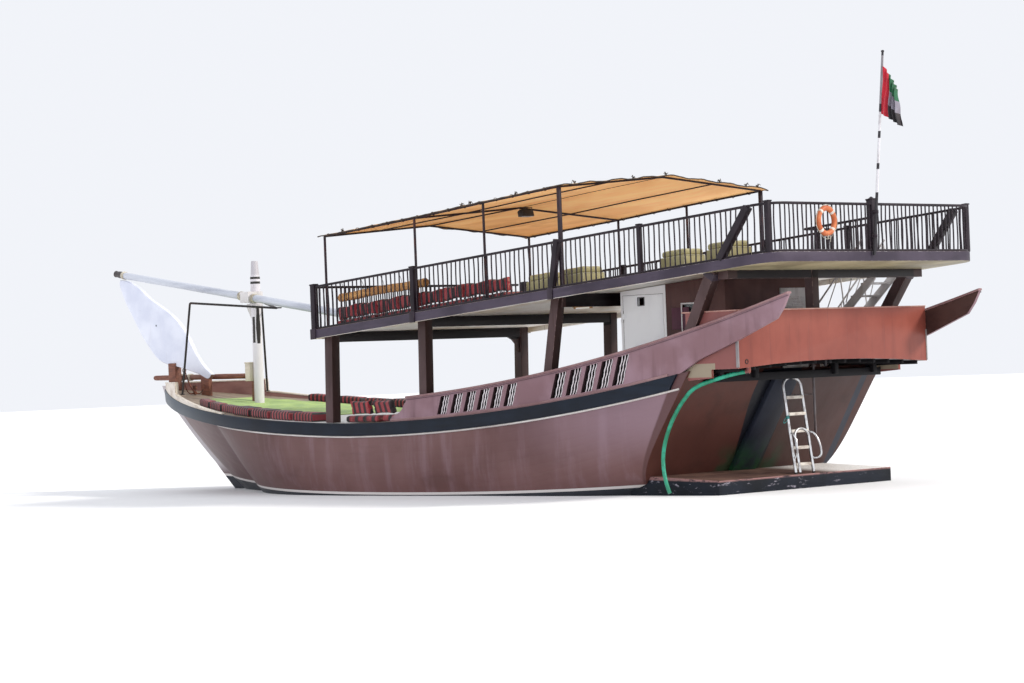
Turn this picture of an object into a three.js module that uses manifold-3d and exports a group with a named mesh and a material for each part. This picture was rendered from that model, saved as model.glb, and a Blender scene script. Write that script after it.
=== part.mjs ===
// A wooden passenger dhow with an upper deck, in millimetres: +X forward, +Y to port, +Z up,
// with its origin on the centreline at the waterline, amidships.
import * as THREE from "three";
import { mergeVertices } from "three/addons/utils/BufferGeometryUtils.js";
import Module from "manifold-3d";

const wasm = await Module();
wasm.setup();

// Driving dimensions of the hull
const HALF_BEAM = 3210; // half the breadth over the planking
const BOW_X = 10660; // foremost point of the sheer
const FULL_X = 2500; // aft of this the sheer runs straight in plan
const SHEER_LOW_X = 500;
const SHEER_LOW_Z = 1600;
const BOW_RISE = 900;
const HULL_BOTTOM_Z = -1300;
const FOREFOOT_X = 4500;
const RUN_X = -2000; // aft of this the bottom rises to the transom
const KEEL_Z = -1700;
const TRANSOM_TOP = { x: -9050, z: 2170 };
const TRANSOM_LOW = { x: -7800, z: 320 };
const BAND_HEIGHT = 280;
const BAND_THICK = 55;
const GAP = 0.4; // between pieces that touch

// Driving dimensions of the upper deck, whose floor rises aft
const DECK_SLOPE = -0.08;
const DECK_TOP_AT_ORIGIN = 3800;
const DECK_FRONT_X = 1500;
const DECK_AFT_X = -11700;
const DECK_CORNER = 500; // radius of the after corners
const LINED_AFT_X = -10000; // aft of this the deck's underside is lined flush with the fascia
const DECK_HALF = 3430;
const FASCIA = 200;
const DECK_THICK = 90;
const RAIL_HEIGHT = 970;
const BALUSTER = 26;
const BALUSTER_PITCH = 185;

const clamp01 = (v) => Math.min(1, Math.max(0, v));

// Hull lines
function sheerZ(x) {
  if (x < SHEER_LOW_X) return SHEER_LOW_Z + 9.29e-6 * (SHEER_LOW_X - x) ** 2;
  return SHEER_LOW_Z + BOW_RISE * ((x - SHEER_LOW_X) / (BOW_X - SHEER_LOW_X)) ** 1.6;
}

function sheerHalf(x) {
  if (x > FULL_X) return HALF_BEAM * (1 - ((x - FULL_X) / (BOW_X - FULL_X)) ** 2);
  return HALF_BEAM - 70 * clamp01((-6000 - x) / 3050);
}

function bottomZ(x) {
  const stemRise = sheerZ(BOW_X) - HULL_BOTTOM_Z;
  if (x > FOREFOOT_X) {
    return HULL_BOTTOM_Z + stemRise * ((x - FOREFOOT_X) / (BOW_X - FOREFOOT_X)) ** 1.715;
  }
  return HULL_BOTTOM_Z + 1000 * (Math.max(0, RUN_X - x) / 5300) ** 2;
}

function bandLowZ(x) {
  return Math.max(sheerZ(x) - BAND_HEIGHT, 0.7 * bottomZ(x) + 0.3 * sheerZ(x));
}

// Half breadth at a height: full round bilges amidships, hollow flare forward, square quarters aft
function halfBreadth(x, z) {
  const up = clamp01((z - bottomZ(x)) / (sheerZ(x) - bottomZ(x)));
  const bow = clamp01((x - 1000) / 5000);
  const stern = clamp01((-3000 - x) / 4500);
  const fullness = 4 - 3 * bow + 4 * stern;
  const flare = 0.5 + 0.35 * bow - 0.1 * stern;
  return sheerHalf(x) * (1 - (1 - up) ** fullness) ** flare;
}

function bulwarkTopZ(x) {
  const aft = -x;
  const full = 2100 + 0.035 * aft + 1.02e-5 * aft * aft;
  const rise = clamp01((-650 - x) / 650);
  const eased = rise * rise * (3 - 2 * rise);
  return sheerZ(x) + 60 + (full - sheerZ(x) - 60) * eased;
}

// Solids
function toSolid(geometry) {
  const bare = geometry.clone();
  bare.deleteAttribute("normal");
  bare.deleteAttribute("uv");
  const merged = mergeVertices(bare, 1e-2);
  return new wasm.Manifold(
    new wasm.Mesh({
      numProp: 3,
      vertProperties: new Float32Array(merged.attributes.position.array),
      triVerts: new Uint32Array(merged.index.array),
    }),
  );
}

function toGeometry(solid) {
  const mesh = solid.getMesh();
  const geometry = new THREE.BufferGeometry();
  const points = new Float32Array(mesh.numVert * 3);
  for (let i = 0; i < mesh.numVert; i++) {
    points.set(mesh.vertProperties.subarray(i * mesh.numProp, i * mesh.numProp + 3), i * 3);
  }
  geometry.setAttribute("position", new THREE.BufferAttribute(points, 3));
  geometry.setIndex(new THREE.BufferAttribute(mesh.triVerts, 1));
  return geometry;
}

function join(pieces) {
  return pieces.reduce((sum, piece) => sum.add(piece));
}

const largest = (solid) => solid.decompose().reduce((a, b) => (b.volume() > a.volume() ? b : a));

// The neighbour is moved by the gap before it is cut away, so the two faces nearly touch
function cutBy(solid, neighbour, dx = 0, dy = 0, dz = 0) {
  return largest(solid.subtract(neighbour).subtract(neighbour.translate([dx * GAP, dy * GAP, dz * GAP])));
}

// A piece let into or round its neighbour keeps the gap on every side
function clearOf(solid, neighbour) {
  const moves = [[1, 0, 0], [-1, 0, 0], [0, 1, 0], [0, -1, 0], [0, 0, 1], [0, 0, -1]];
  for (const move of moves) solid = solid.subtract(neighbour.translate(move.map((d) => d * GAP)));
  return largest(solid);
}

function block(x0, x1, y0, y1, z0, z1) {
  const shape = new THREE.BoxGeometry(x1 - x0, y1 - y0, z1 - z0);
  return toSolid(shape.translate((x0 + x1) / 2, (y0 + y1) / 2, (z0 + z1) / 2));
}

// An outline in X and Z, made solid from yLow to yHigh
function sidePlate(outline, yLow, yHigh) {
  const shape = new THREE.Shape(outline.map(([x, z]) => new THREE.Vector2(x, z)));
  const plate = new THREE.ExtrudeGeometry(shape, { depth: yHigh - yLow, bevelEnabled: false });
  return toSolid(plate.rotateX(Math.PI / 2).translate(0, yHigh, 0));
}

// An outline in X and Y, made solid from zLow to zHigh
function floorPlate(outline, zLow, zHigh) {
  const shape = new THREE.Shape(outline.map(([x, y]) => new THREE.Vector2(x, y)));
  const plate = new THREE.ExtrudeGeometry(shape, { depth: zHigh - zLow, bevelEnabled: false });
  return toSolid(plate.translate(0, 0, zLow));
}

function alongLine(geometry, from, to) {
  const a = new THREE.Vector3(...from);
  const b = new THREE.Vector3(...to);
  const along = b.clone().sub(a).normalize();
  const turn = new THREE.Quaternion().setFromUnitVectors(new THREE.Vector3(0, 0, 1), along);
  const middle = a.clone().add(b).multiplyScalar(0.5);
  return toSolid(geometry.applyQuaternion(turn).translate(middle.x, middle.y, middle.z));
}

function distance(from, to) {
  return new THREE.Vector3(...from).distanceTo(new THREE.Vector3(...to));
}

function pole(from, to, radius, sides = 8, endRadius = radius) {
  const length = distance(from, to);
  const rod = new THREE.CylinderGeometry(endRadius, radius, length, sides).rotateX(Math.PI / 2);
  return alongLine(rod, from, to);
}

// A square timber between two points; its sides face X and Y when it stands upright
function timber(from, to, width, depth = width) {
  return alongLine(new THREE.BoxGeometry(width, depth, distance(from, to)), from, to);
}

// A skin over rings of equal point counts, closed by flat ends
function loft(rings) {
  const count = rings[0].length;
  const positions = rings.flat(2);
  const index = [];
  for (let r = 0; r < rings.length - 1; r++) {
    for (let i = 0; i < count; i++) {
      const a = r * count + i;
      const b = r * count + ((i + 1) % count);
      index.push(a, a + count, b, b, a + count, b + count);
    }
  }
  const flat = rings[0].map(([, y, z]) => new THREE.Vector2(y, z));
  const ends = THREE.ShapeUtils.triangulateShape(flat, []);
  const lastFlat = rings.at(-1).map(([, y, z]) => new THREE.Vector2(y, z));
  const lastEnds = THREE.ShapeUtils.triangulateShape(lastFlat, []);
  const last = (rings.length - 1) * count;
  for (const [a, b, c] of ends) index.push(a, b, c);
  for (const [a, b, c] of lastEnds) index.push(last + a, last + c, last + b);
  const geometry = new THREE.BufferGeometry();
  geometry.setAttribute("position", new THREE.Float32BufferAttribute(positions, 3));
  geometry.setIndex(index);
  const solid = toSolid(geometry);
  if (solid.volume() > 0) return solid;
  for (let i = 0; i < index.length; i += 3) [index[i + 1], index[i + 2]] = [index[i + 2], index[i + 1]];
  geometry.setIndex(index);
  return toSolid(geometry);
}

const mirrored = (solid) => solid.mirror([0, 1, 0]);

// The upper deck's own height h above its floor, sheared to the slope of the deck
function onDeck(solid) {
  // Column by column: the shear lifts each point by the slope times its x
  return solid.transform([1, 0, DECK_SLOPE, 0, 0, 1, 0, 0, 0, 0, 1, 0, 0, 0, DECK_TOP_AT_ORIGIN, 1]);
}

const deckZ = (x, h = 0) => DECK_TOP_AT_ORIGIN + DECK_SLOPE * x + h;

// Paints and finishes
const finish = (color, roughness, metalness = 0) =>
  new THREE.MeshStandardMaterial({ color, roughness, metalness });
const brownHull = finish(0x6e4440, 0.55);
const plumPaint = finish(0x4a3a45, 0.5);
const rosePaint = finish(0x8a5f62, 0.55);
const navyPaint = finish(0x1f3440, 0.45);
const creamPaint = finish(0xd9cdb8, 0.6);
const whitePaint = finish(0xe4e4e8, 0.5);
const teak = finish(0x7a4a30, 0.65);
const bronze = finish(0x9a7a45, 0.35, 0.9);
const castIron = finish(0x55504c, 0.7, 0.6);
const rust = finish(0x5a2f22, 0.85, 0.3);
const aluminium = finish(0xc4c8cc, 0.35, 0.9);
const tanCanvas = finish(0xb8763c, 0.9);
const redCloth = finish(0x8a1c22, 0.95);
const greenHose = finish(0x128a5e, 0.45);
const orangePlastic = finish(0xe0722e, 0.5);
const darkSteel = finish(0x24211f, 0.5, 0.6);
const glass = finish(0xdde6ea, 0.1);

const boat = new THREE.Group();

function add(name, solid, material) {
  const mesh = new THREE.Mesh(toGeometry(solid), material);
  mesh.name = name;
  boat.add(mesh);
  return solid;
}

// Hull: planked shell with its deck, pocket for the engine, and bore for the rudder stock
const STATIONS = [-9600, -9000, -8000, -7000, -6000, -4500, -3000, -1000, 1000, 2500, 3800, 5000,
  6200, 7300, 8300, 9200, 9900, 10300, 10520];
const SIDE_FRACTIONS = [0.05, 0.13, 0.24, 0.4, 0.6, 0.8, 1];

function hullRing(x) {
  const port = SIDE_FRACTIONS.map((f) => {
    const z = bottomZ(x) + f * (bandLowZ(x) - bottomZ(x));
    return [x, halfBreadth(x, z), z];
  });
  port.push([x, sheerHalf(x), sheerZ(x)]);
  const starboard = port.map(([px, y, z]) => [px, -y, z]).reverse();
  return [[x, 0, bottomZ(x)], ...port, ...starboard];
}

const transomLean = (TRANSOM_TOP.x - TRANSOM_LOW.x) / (TRANSOM_TOP.z - TRANSOM_LOW.z);
const transomX = (z) => TRANSOM_LOW.x + transomLean * (z - TRANSOM_LOW.z);
const aftOfTransom = sidePlate(
  [[transomX(-2500), -2500], [transomX(4000), 4000], [-13000, 4000], [-13000, -2500]],
  -4000,
  4000,
);

const ENGINE = { x: -3800, length: 1300, width: 750, z: -700, height: 900 };
const POCKET = { x0: -4650, x1: -2950, half: 600, z: -700 - GAP };
const RUDDER_X = -7200;
const STOCK_RADIUS = 50;
const PINTLE_RADIUS = 30;
const SHAFT_Z = -1080;
const SHAFT_RADIUS = 35;
const BEARING_SIDES = 24;
const BEARING_PLAY = 0.9; // on the radius, so that the facets pass each other

const portHull = loft(STATIONS.map(hullRing)).subtract(aftOfTransom)
  .intersect(block(-12000, 12000, 0, 4000, -3000, 4000));
const rawHull = join([portHull, portHull.mirror([0, 1, 0])]);
// Everything below the deck's surface, for what stands on the hull's edge or its band
const underDeck = rawHull.scale([1, 1.3, 1]);
add(
  "hull",
  rawHull
    .subtract(block(POCKET.x0, POCKET.x1, -POCKET.half, POCKET.half, POCKET.z, 4000))
    .subtract(pole([RUDDER_X, 0, -900], [RUDDER_X, 0, 150], STOCK_RADIUS + BEARING_PLAY, BEARING_SIDES)),
  brownHull,
);

// Keel, forefoot and stem as one backbone, with the deadwood, the heel and the shaft's bore
const BACKBONE_HALF = 110;
const STEM_THICK = 190;
const STERNPOST_X = -6350;
const stemLine = [4300, 5500, 6700, 7800, 8900, 9900, 10560].map((x) => [x, bottomZ(x)]);
const backboneOutline = [
  [-7450, KEEL_Z],
  [3700, KEEL_Z],
  ...stemLine.slice(1).map(([x, z]) => [x + STEM_THICK * 0.8, z - STEM_THICK * 0.5]),
  [BOW_X + 90, 2560],
  [BOW_X - 120, 2560],
  [BOW_X - 700, 2200],
  [8500, 1400],
  [4300, -900],
  [STERNPOST_X, -200],
  [STERNPOST_X, -1580],
  [-7450, -1580],
];
let backbone = sidePlate(backboneOutline, -BACKBONE_HALF, BACKBONE_HALF);
backbone = cutBy(backbone, rawHull, 1, 0, -1);
backbone = cutBy(backbone, rawHull, 0, 0, 1);
backbone = backbone
  .subtract(pole([STERNPOST_X - 50, 0, SHAFT_Z], [STERNPOST_X + 300, 0, SHAFT_Z],
    SHAFT_RADIUS + BEARING_PLAY, BEARING_SIDES))
  .subtract(pole([RUDDER_X, 0, -1640], [RUDDER_X, 0, -1500], PINTLE_RADIUS + BEARING_PLAY, BEARING_SIDES));
add("keel_and_stem", backbone, brownHull);

// Navy rubbing band along the sheer on each side
function bandRing(x, offset) {
  const low = bandLowZ(x);
  const inLow = halfBreadth(x, low);
  const inHigh = sheerHalf(x);
  return [
    [x, inLow + offset, low],
    [x, inHigh + BAND_THICK, low],
    [x, inHigh + BAND_THICK, sheerZ(x)],
    [x, inHigh + offset, sheerZ(x)],
  ];
}
const BAND_SHORT = 250; // its after end stops this far before the transom's edge
let bandPort = cutBy(loft(STATIONS.map((x) => bandRing(x, GAP))), aftOfTransom.translate([BAND_SHORT, 0, 0]));
bandPort = clearOf(cutBy(bandPort, rawHull, 0, 1, 0), backbone);
add("rubbing_band_port", bandPort, navyPaint);
add("rubbing_band_starboard", mirrored(bandPort), navyPaint);

// Washboards round the bow: high forward, a low coaming further aft
const WASH_TOP_Z = 2640;
const WASH_END_X = 8500;
const WASH_THICK = 60;
function washTop(x) {
  if (x > WASH_END_X) return WASH_TOP_Z;
  return sheerZ(x) + 25 + 105 * clamp01((x - 5200) / 3100);
}
const WASH_STATIONS = [5200, 6200, 7300, 8300, 8460, 8540, 9200, 9900, 10300, 10520];
const washRing = (x) => {
  const outer = sheerHalf(x) + 20;
  const inner = Math.max(5, outer - WASH_THICK * (1 + 1.2 * clamp01((x - 8000) / 2500)));
  return [
    [x, inner, sheerZ(x) - 60],
    [x, outer, sheerZ(x) - 60],
    [x, outer, washTop(x)],
    [x, inner, washTop(x)],
  ];
};
let washPort = loft(WASH_STATIONS.map(washRing));
washPort = cutBy(cutBy(washPort, underDeck, 0, 0, 1), bandPort, 0, 0, 1);
const wash = add("washboard_port", clearOf(washPort, backbone), creamPaint);
add("washboard_starboard", mirrored(wash), creamPaint);

// Stemhead post, chock and the flat blade that they carry
const BLADE_HALF = 60;
const bladeOutline = [
  [8960, 2690], [9330, 2820], [10090, 3010], [10500, 3090], [10850, 3230], [11410, 3780],
  [11780, 4300], [12110, 4790], [12270, 5180], [12250, 5275], [12000, 5235], [11530, 5040],
  [11150, 4780], [10580, 4480], [10100, 4180], [9770, 3850], [9450, 3370], [9130, 3010],
  [8830, 2800],
];
const blade = add("stem_blade", sidePlate(bladeOutline, -BLADE_HALF, BLADE_HALF), whitePaint);
let stemhead = block(10160, 10420, -100, 100, 2300, 3110);
stemhead = clearOf(stemhead, blade);
stemhead = cutBy(cutBy(stemhead, rawHull, 0, 0, 1), backbone, 0, 0, 1);
stemhead = clearOf(clearOf(clearOf(stemhead, wash), mirrored(wash)), backbone);
add("stemhead_post", stemhead, teak);
let chock = block(8950, 9250, -55, 55, 2100, 2760);
chock = cutBy(cutBy(chock, blade, 0, 0, -1), rawHull, 0, 0, 1);
add("blade_chock", chock, teak);

// Log bowsprit beside the stemhead, with the bitt under its heel
const LOG_Y = -250;
const LOG_Z = 2740;
const LOG_RADIUS = 68;
const log = add("bowsprit_log", pole([7350, LOG_Y, LOG_Z - 20], [11380, LOG_Y, LOG_Z + 20], LOG_RADIUS, 10), teak);
let bitt = block(7450, 7610, LOG_Y - 80, LOG_Y + 80, 1900, LOG_Z);
bitt = cutBy(clearOf(bitt, log), rawHull, 0, 0, 1);
add("bowsprit_bitt", bitt, teak);

// Mast, short and stepped in the deck
const MAST_X = 7150;
const MAST_RADIUS = 120;
const BOOM_AT_MAST_Z = 4625;
const COLLAR_HALF = 130;
add(
  "mast",
  cutBy(
    join([
      pole([MAST_X, 0, 1800], [MAST_X, 0, 5120], MAST_RADIUS, 12),
      pole([MAST_X, 0, 5110], [MAST_X, 0, 5500], MAST_RADIUS - 10, 12, 80),
      pole([MAST_X, 0, 4380], [MAST_X, 0, BOOM_AT_MAST_Z - COLLAR_HALF], 160, 12),
    ]),
    rawHull,
    0,
    0,
    1,
  ),
  whitePaint,
);

// Boom stowed along the boat on a collar round the mast
const BOOM_TIP = [12470, 0, 5440];
const BOOM_HEEL = [1960, 480, 3832];
const BOOM_RADIUS = 98;
add("boom", pole(BOOM_HEEL, BOOM_TIP, BOOM_RADIUS, 12, 85), whitePaint);
const collarLow = BOOM_AT_MAST_Z - COLLAR_HALF + GAP;
const collarHigh = BOOM_AT_MAST_Z + COLLAR_HALF;
const collar = join([
  pole([MAST_X, 0, collarLow], [MAST_X, 0, collarHigh], 175, 12),
  block(MAST_X - 150, MAST_X + 150, 90, 370, collarLow, collarHigh),
])
  .subtract(pole([MAST_X, 0, 4000], [MAST_X, 0, 5300], MAST_RADIUS + 7, 12))
  .subtract(pole(BOOM_HEEL, BOOM_TIP, BOOM_RADIUS + GAP, 12, 85 + GAP));
add("boom_collar", collar, creamPaint);

// Pipe crutch under the boom, on the low coamings each side of the bow
const PIPE = 25;
const LEG_FOOT = [8400, 1370, 2200];
const LEG_TOP = [8250, 1150, 4500];
const CRUTCH = [6100, 280, 4280];
const portSide = ([x, y, z]) => [x, y, z];
const starboardSide = ([x, y, z]) => [x, -y, z];
const crutchParts = [portSide, starboardSide].flatMap((side) => [
  pole(side(LEG_FOOT), side(LEG_TOP), PIPE, 8),
  pole(side(LEG_TOP), CRUTCH, PIPE, 8),
  toSolid(new THREE.SphereGeometry(PIPE + 3, 8, 6).translate(...side(LEG_TOP))),
]);
let crutch = join([...crutchParts, block(6010, 6190, 190, 370, 4268, 4298)]);
for (const part of [rawHull, wash, mirrored(wash), bandPort, mirrored(bandPort)]) {
  crutch = cutBy(crutch, part, 0, 0, 1);
}
add("boom_crutch", crutch, darkSteel);

// Grapnel anchor lying on the foredeck
const ANCHOR = [9050, 420, 2330];
const [anchorX, anchorY, anchorZ] = ANCHOR;
const crown = [anchorX, anchorY, anchorZ + 60];
const eye = [anchorX + 420, anchorY - 60, anchorZ + 560];
const flukes = [0, 1, 2, 3].flatMap((i) => {
  const turn = (i * Math.PI) / 2 + Math.PI / 4;
  const knee = [anchorX + 170 * Math.cos(turn), anchorY + 170 * Math.sin(turn), anchorZ + 80];
  const tip = [anchorX + 230 * Math.cos(turn), anchorY + 230 * Math.sin(turn), anchorZ + 240];
  return [pole(crown, knee, 18, 6), pole(knee, tip, 18, 6, 8)];
});
const grapnel = join([pole(crown, eye, 20, 6), ...flukes, block(anchorX - 60, anchorX + 60,
  anchorY - 60, anchorY + 60, anchorZ - 120, anchorZ + 90)]);
add("anchor", cutBy(cutBy(grapnel, rawHull, 0, 0, 1), wash, 0, -1, 0), rust);

// Raised bulwarks, which run on past the transom as quarter boards
const BULWARK_IN = 3095;
const BULWARK_OUT = 3175;
const topXs = [-650, -850, -1000, -1150, -1300, -2300, -4000, -5800, -7500, -9000, -10500, -11880];
const lowXs = [-9080, -8000, -7000, -6000, -4500, -3000, -1500, -650];
const bulwarkOutline = [
  ...topXs.map((x) => [x, bulwarkTopZ(x)]),
  [-11560, 3440],
  [-10590, 3060],
  [-9550, 2700],
  ...lowXs.map((x) => [x, sheerZ(x) - 60]),
];
// Pierced panels: first opening's aft edge to the next, and how many
const PANELS = [
  { start: -2280, pitch: 396, width: 262, count: 6 },
  { start: -5640, pitch: 430, width: 300, count: 5 },
];
const PANEL_LEAN = 0.36; // the openings and spindles lean aft, square to the rising rail
let bulwark = sidePlate(bulwarkOutline, BULWARK_IN, BULWARK_OUT);
const SPINDLE = 22;
const spindles = [];
for (const { start, pitch, width, count } of PANELS) {
  for (let i = 0; i < count; i++) {
    const x1 = start - i * pitch;
    const x0 = x1 - width;
    const low = (x) => sheerZ(x) + 90;
    const lean = PANEL_LEAN * (bulwarkTopZ(x1) - 130 - low(x1));
    const high = (x) => bulwarkTopZ(x - lean) - 130;
    const hole = [[x0, low(x0)], [x1, low(x1)], [x1 - lean, high(x1)], [x0 - lean, high(x0)]];
    bulwark = bulwark.subtract(sidePlate(hole, BULWARK_IN - 50, BULWARK_OUT + 50));
    for (const at of [0.25, 0.5, 0.75]) {
      const x = x0 + at * width;
      const y = (BULWARK_IN + BULWARK_OUT) / 2;
      const over = 30 * PANEL_LEAN;
      const bar = [
        [x - SPINDLE / 2 + over, low(x) - 30], [x + SPINDLE / 2 + over, low(x) - 30],
        [x + SPINDLE / 2 - lean - over, high(x) + 30], [x - SPINDLE / 2 - lean - over, high(x) + 30],
      ];
      spindles.push(sidePlate(bar, y - SPINDLE / 2, y + SPINDLE / 2));
    }
  }
}
bulwark = join([bulwark, ...spindles]);
bulwark = cutBy(cutBy(bulwark, underDeck, 0, 0, 1), bandPort, 0, 0, 1);
const bulwarkPort = add("bulwark_port", bulwark, rosePaint);
add("bulwark_starboard", mirrored(bulwarkPort), rosePaint);

// Green discharge hose: from its outlet under the gallery box, out at the quarter and down to the water
const HOSE_RADIUS = 42;
const HOSE_ROUTE = [
  [-10380, 2730, 2430], [-10270, 2785, 2416], [-10160, 2830, 2395], [-9900, 2930, 2330], [-9550, 2955, 2245],
  [-9400, 2968, 2200], [-9250, 2990, 2130], [-9150, 3010, 2060], [-9060, 3030, 1960], [-8950, 3047, 1838],
  [-8850, 3060, 1700], [-8750, 3069, 1555], [-8660, 3075, 1400], [-8585, 3079, 1243], [-8520, 3080, 1080],
  [-8475, 3080, 922], [-8450, 3080, 760], [-8450, 3080, 595], [-8470, 3080, 430], [-8515, 3080, 250],
  [-8590, 3080, 60],
];
const hosePath = new THREE.CatmullRomCurve3(HOSE_ROUTE.map((p) => new THREE.Vector3(...p)));

// Gallery box that hangs aft of the transom, open above and towards the deck
const BOX = { x0: -10500, x1: -9180, half: 3080, low: 2500, high: 3640, wall: 60 };
const boxFloor = (y) => BOX.low + 110 * (1 - (y / BOX.half) ** 2);
const boxYs = [-3080, -2000, -1000, 0, 1000, 2000, 3080];
const boxOutline = [...boxYs.map((y) => [y, boxFloor(y)]), [BOX.half, BOX.high], [-BOX.half, BOX.high]];
const boxShape = loft([BOX.x0, BOX.x1].map((x) => boxOutline.map(([y, z]) => [x, y, z])));
const inside = block(BOX.x0 + BOX.wall, BOX.x1 + 100, -BOX.half + BOX.wall, BOX.half - BOX.wall,
  BOX.low + 175, BOX.high + 100);
const kneePort = sidePlate([[-9800, 2540], [-9800, 2330], [-9200, 2290], [-9080, 2520], [-9120, 2700],
  [-9800, 2700]], BOX.half - 70, BOX.half);
const hoseStart = hosePath.getPoint(0).toArray();
const hoseAhead = hosePath.getTangent(0).toArray();
const beforeHose = (length) => hoseStart.map((v, i) => v - length * hoseAhead[i]);
const [elbowX, elbowY, elbowZ] = beforeHose(60);
const outlet = join([
  pole(beforeHose(80), beforeHose(GAP), HOSE_RADIUS + 10, 12),
  pole([elbowX, elbowY, elbowZ - 20], [elbowX, elbowY, BOX.low + 120], HOSE_RADIUS + 6, 12),
]);
const box = join([boxShape.subtract(inside), kneePort, mirrored(kneePort), outlet]);
const gallery = add("gallery_box", cutBy(cutBy(box, rawHull, -1, 0, 0), rawHull, 0, 0, 1), rosePaint);

// Casing down the middle of the transom, over the rudder's trunk
const casingOutline = [
  [transomX(60), 60], [transomX(60) - 130, 60], [transomX(2300) - 130, 2300], [transomX(2300) + 200, 2300],
  [transomX(60) + 200, 60],
];
let casing = sidePlate(casingOutline, -380, 380);
casing = cutBy(cutBy(casing, rawHull, -1, 0, 0), gallery, 0, 0, -1);

// Landing platform at the waterline
const PLATFORM = { x: -9650, front: -7300, half: 2800, low: -100, high: 190, frontLow: -20, frontHigh: 440 };
const platformTop = (x) => PLATFORM.high
  + ((x - PLATFORM.x) / (PLATFORM.front - PLATFORM.x)) * (PLATFORM.frontHigh - PLATFORM.high);
let platform = sidePlate(
  [[PLATFORM.x, PLATFORM.low], [PLATFORM.front, PLATFORM.frontLow], [PLATFORM.front, PLATFORM.frontHigh],
    [PLATFORM.x, PLATFORM.high]],
  -PLATFORM.half,
  PLATFORM.half,
);
platform = cutBy(platform, rawHull, -1, 0, 0);
for (const y of [-2200, 0, 2200]) {
  const bracket = sidePlate([[-9400, -60], [-7350, 0], [-7350, -400]], y - 50, y + 50);
  platform = platform.add(cutBy(bracket, rawHull, -1, 0, 0));
}
casing = cutBy(casing, platform, 0, 0, 1);
add("transom_casing", casing, navyPaint);
add("stern_platform", platform, navyPaint);

// Aluminium ladder from the platform up the transom
const LADDER = { y: 0, half: 290, foot: -9600, top: -9330, topZ: 2100, tube: 22, loop: 170 };
const ladderFootZ = platformTop(LADDER.foot) + GAP;
const ladderX = (z) => LADDER.foot
  + ((z - ladderFootZ) / (LADDER.topZ - ladderFootZ)) * (LADDER.top - LADDER.foot);
const ladderSides = [-1, 1].map((s) => pole(
  [LADDER.foot, LADDER.y + s * LADDER.half, PLATFORM.low],
  [LADDER.top, LADDER.y + s * LADDER.half, LADDER.topZ],
  LADDER.tube,
));
const rungs = [470, 810, 1170, 1520, 1860].map((z) =>
  timber([ladderX(z), LADDER.y - LADDER.half, z], [ladderX(z), LADDER.y + LADDER.half, z], 50, 60));
// Its head is bent round in three straight lengths
const head = [
  [-LADDER.half, -25], [-LADDER.half * 0.6, LADDER.loop], [LADDER.half * 0.6, LADDER.loop], [LADDER.half, -25],
].map(([y, z]) => [ladderX(LADDER.topZ + z), LADDER.y + y, LADDER.topZ + z]);
const headTubes = [0, 1, 2].map((i) => pole(head[i], head[i + 1], LADDER.tube));
const headBends = [1, 2].map((i) =>
  toSolid(new THREE.SphereGeometry(LADDER.tube + 2, 8, 6).translate(...head[i])));
add("stern_ladder", cutBy(join([...ladderSides, ...rungs, ...headTubes, ...headBends]), platform, 0, 0, 1), aluminium);

// Rudder on its stock, heeled in the backbone
const rudderOutline = [[-7080, -1480], [-7080, -560], [-7640, -480], [-7760, -1400], [-7700, -1480]];
add(
  "rudder",
  join([
    sidePlate(rudderOutline, -30, 30),
    pole([RUDDER_X, 0, -1500], [RUDDER_X, 0, 100], STOCK_RADIUS, BEARING_SIDES),
    pole([RUDDER_X, 0, -1630], [RUDDER_X, 0, -1490], PINTLE_RADIUS, BEARING_SIDES),
  ]),
  brownHull,
);

// Three-bladed propeller with its shaft
const PROP_X = -6620;
const hub = pole([PROP_X - 110, 0, SHAFT_Z], [PROP_X + 110, 0, SHAFT_Z], 75, 10, 60);
const propBlades = [0, 1, 2].map((i) => {
  const blade3 = new THREE.BoxGeometry(16, 190, 340).translate(0, 0, 220);
  blade3.rotateZ(0.6).rotateX((i * 2 * Math.PI) / 3).translate(PROP_X, 0, SHAFT_Z);
  return toSolid(blade3);
});
add(
  "propeller",
  join([hub, ...propBlades,
    pole([PROP_X, 0, SHAFT_Z], [STERNPOST_X + 280, 0, SHAFT_Z], SHAFT_RADIUS, BEARING_SIDES)]),
  bronze,
);

// Engine on its bed under the hatch
add(
  "engine",
  block(ENGINE.x - ENGINE.length / 2, ENGINE.x + ENGINE.length / 2, -ENGINE.width / 2, ENGINE.width / 2,
    ENGINE.z, ENGINE.z + ENGINE.height),
  castIron,
);
const HATCH = { x0: -4720, x1: -2880, half: 670, z: 1930 };
let coaming = block(HATCH.x0, HATCH.x1, -HATCH.half, HATCH.half, 1500, HATCH.z)
  .subtract(block(POCKET.x0, POCKET.x1, -POCKET.half, POCKET.half, 1000, 2500));
coaming = cutBy(coaming, rawHull, 0, 0, 1);
add("hatch_coaming", coaming, teak);
add("engine_hatch", block(HATCH.x0, HATCH.x1, -HATCH.half, HATCH.half, HATCH.z + GAP, HATCH.z + 50), teak);

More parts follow.
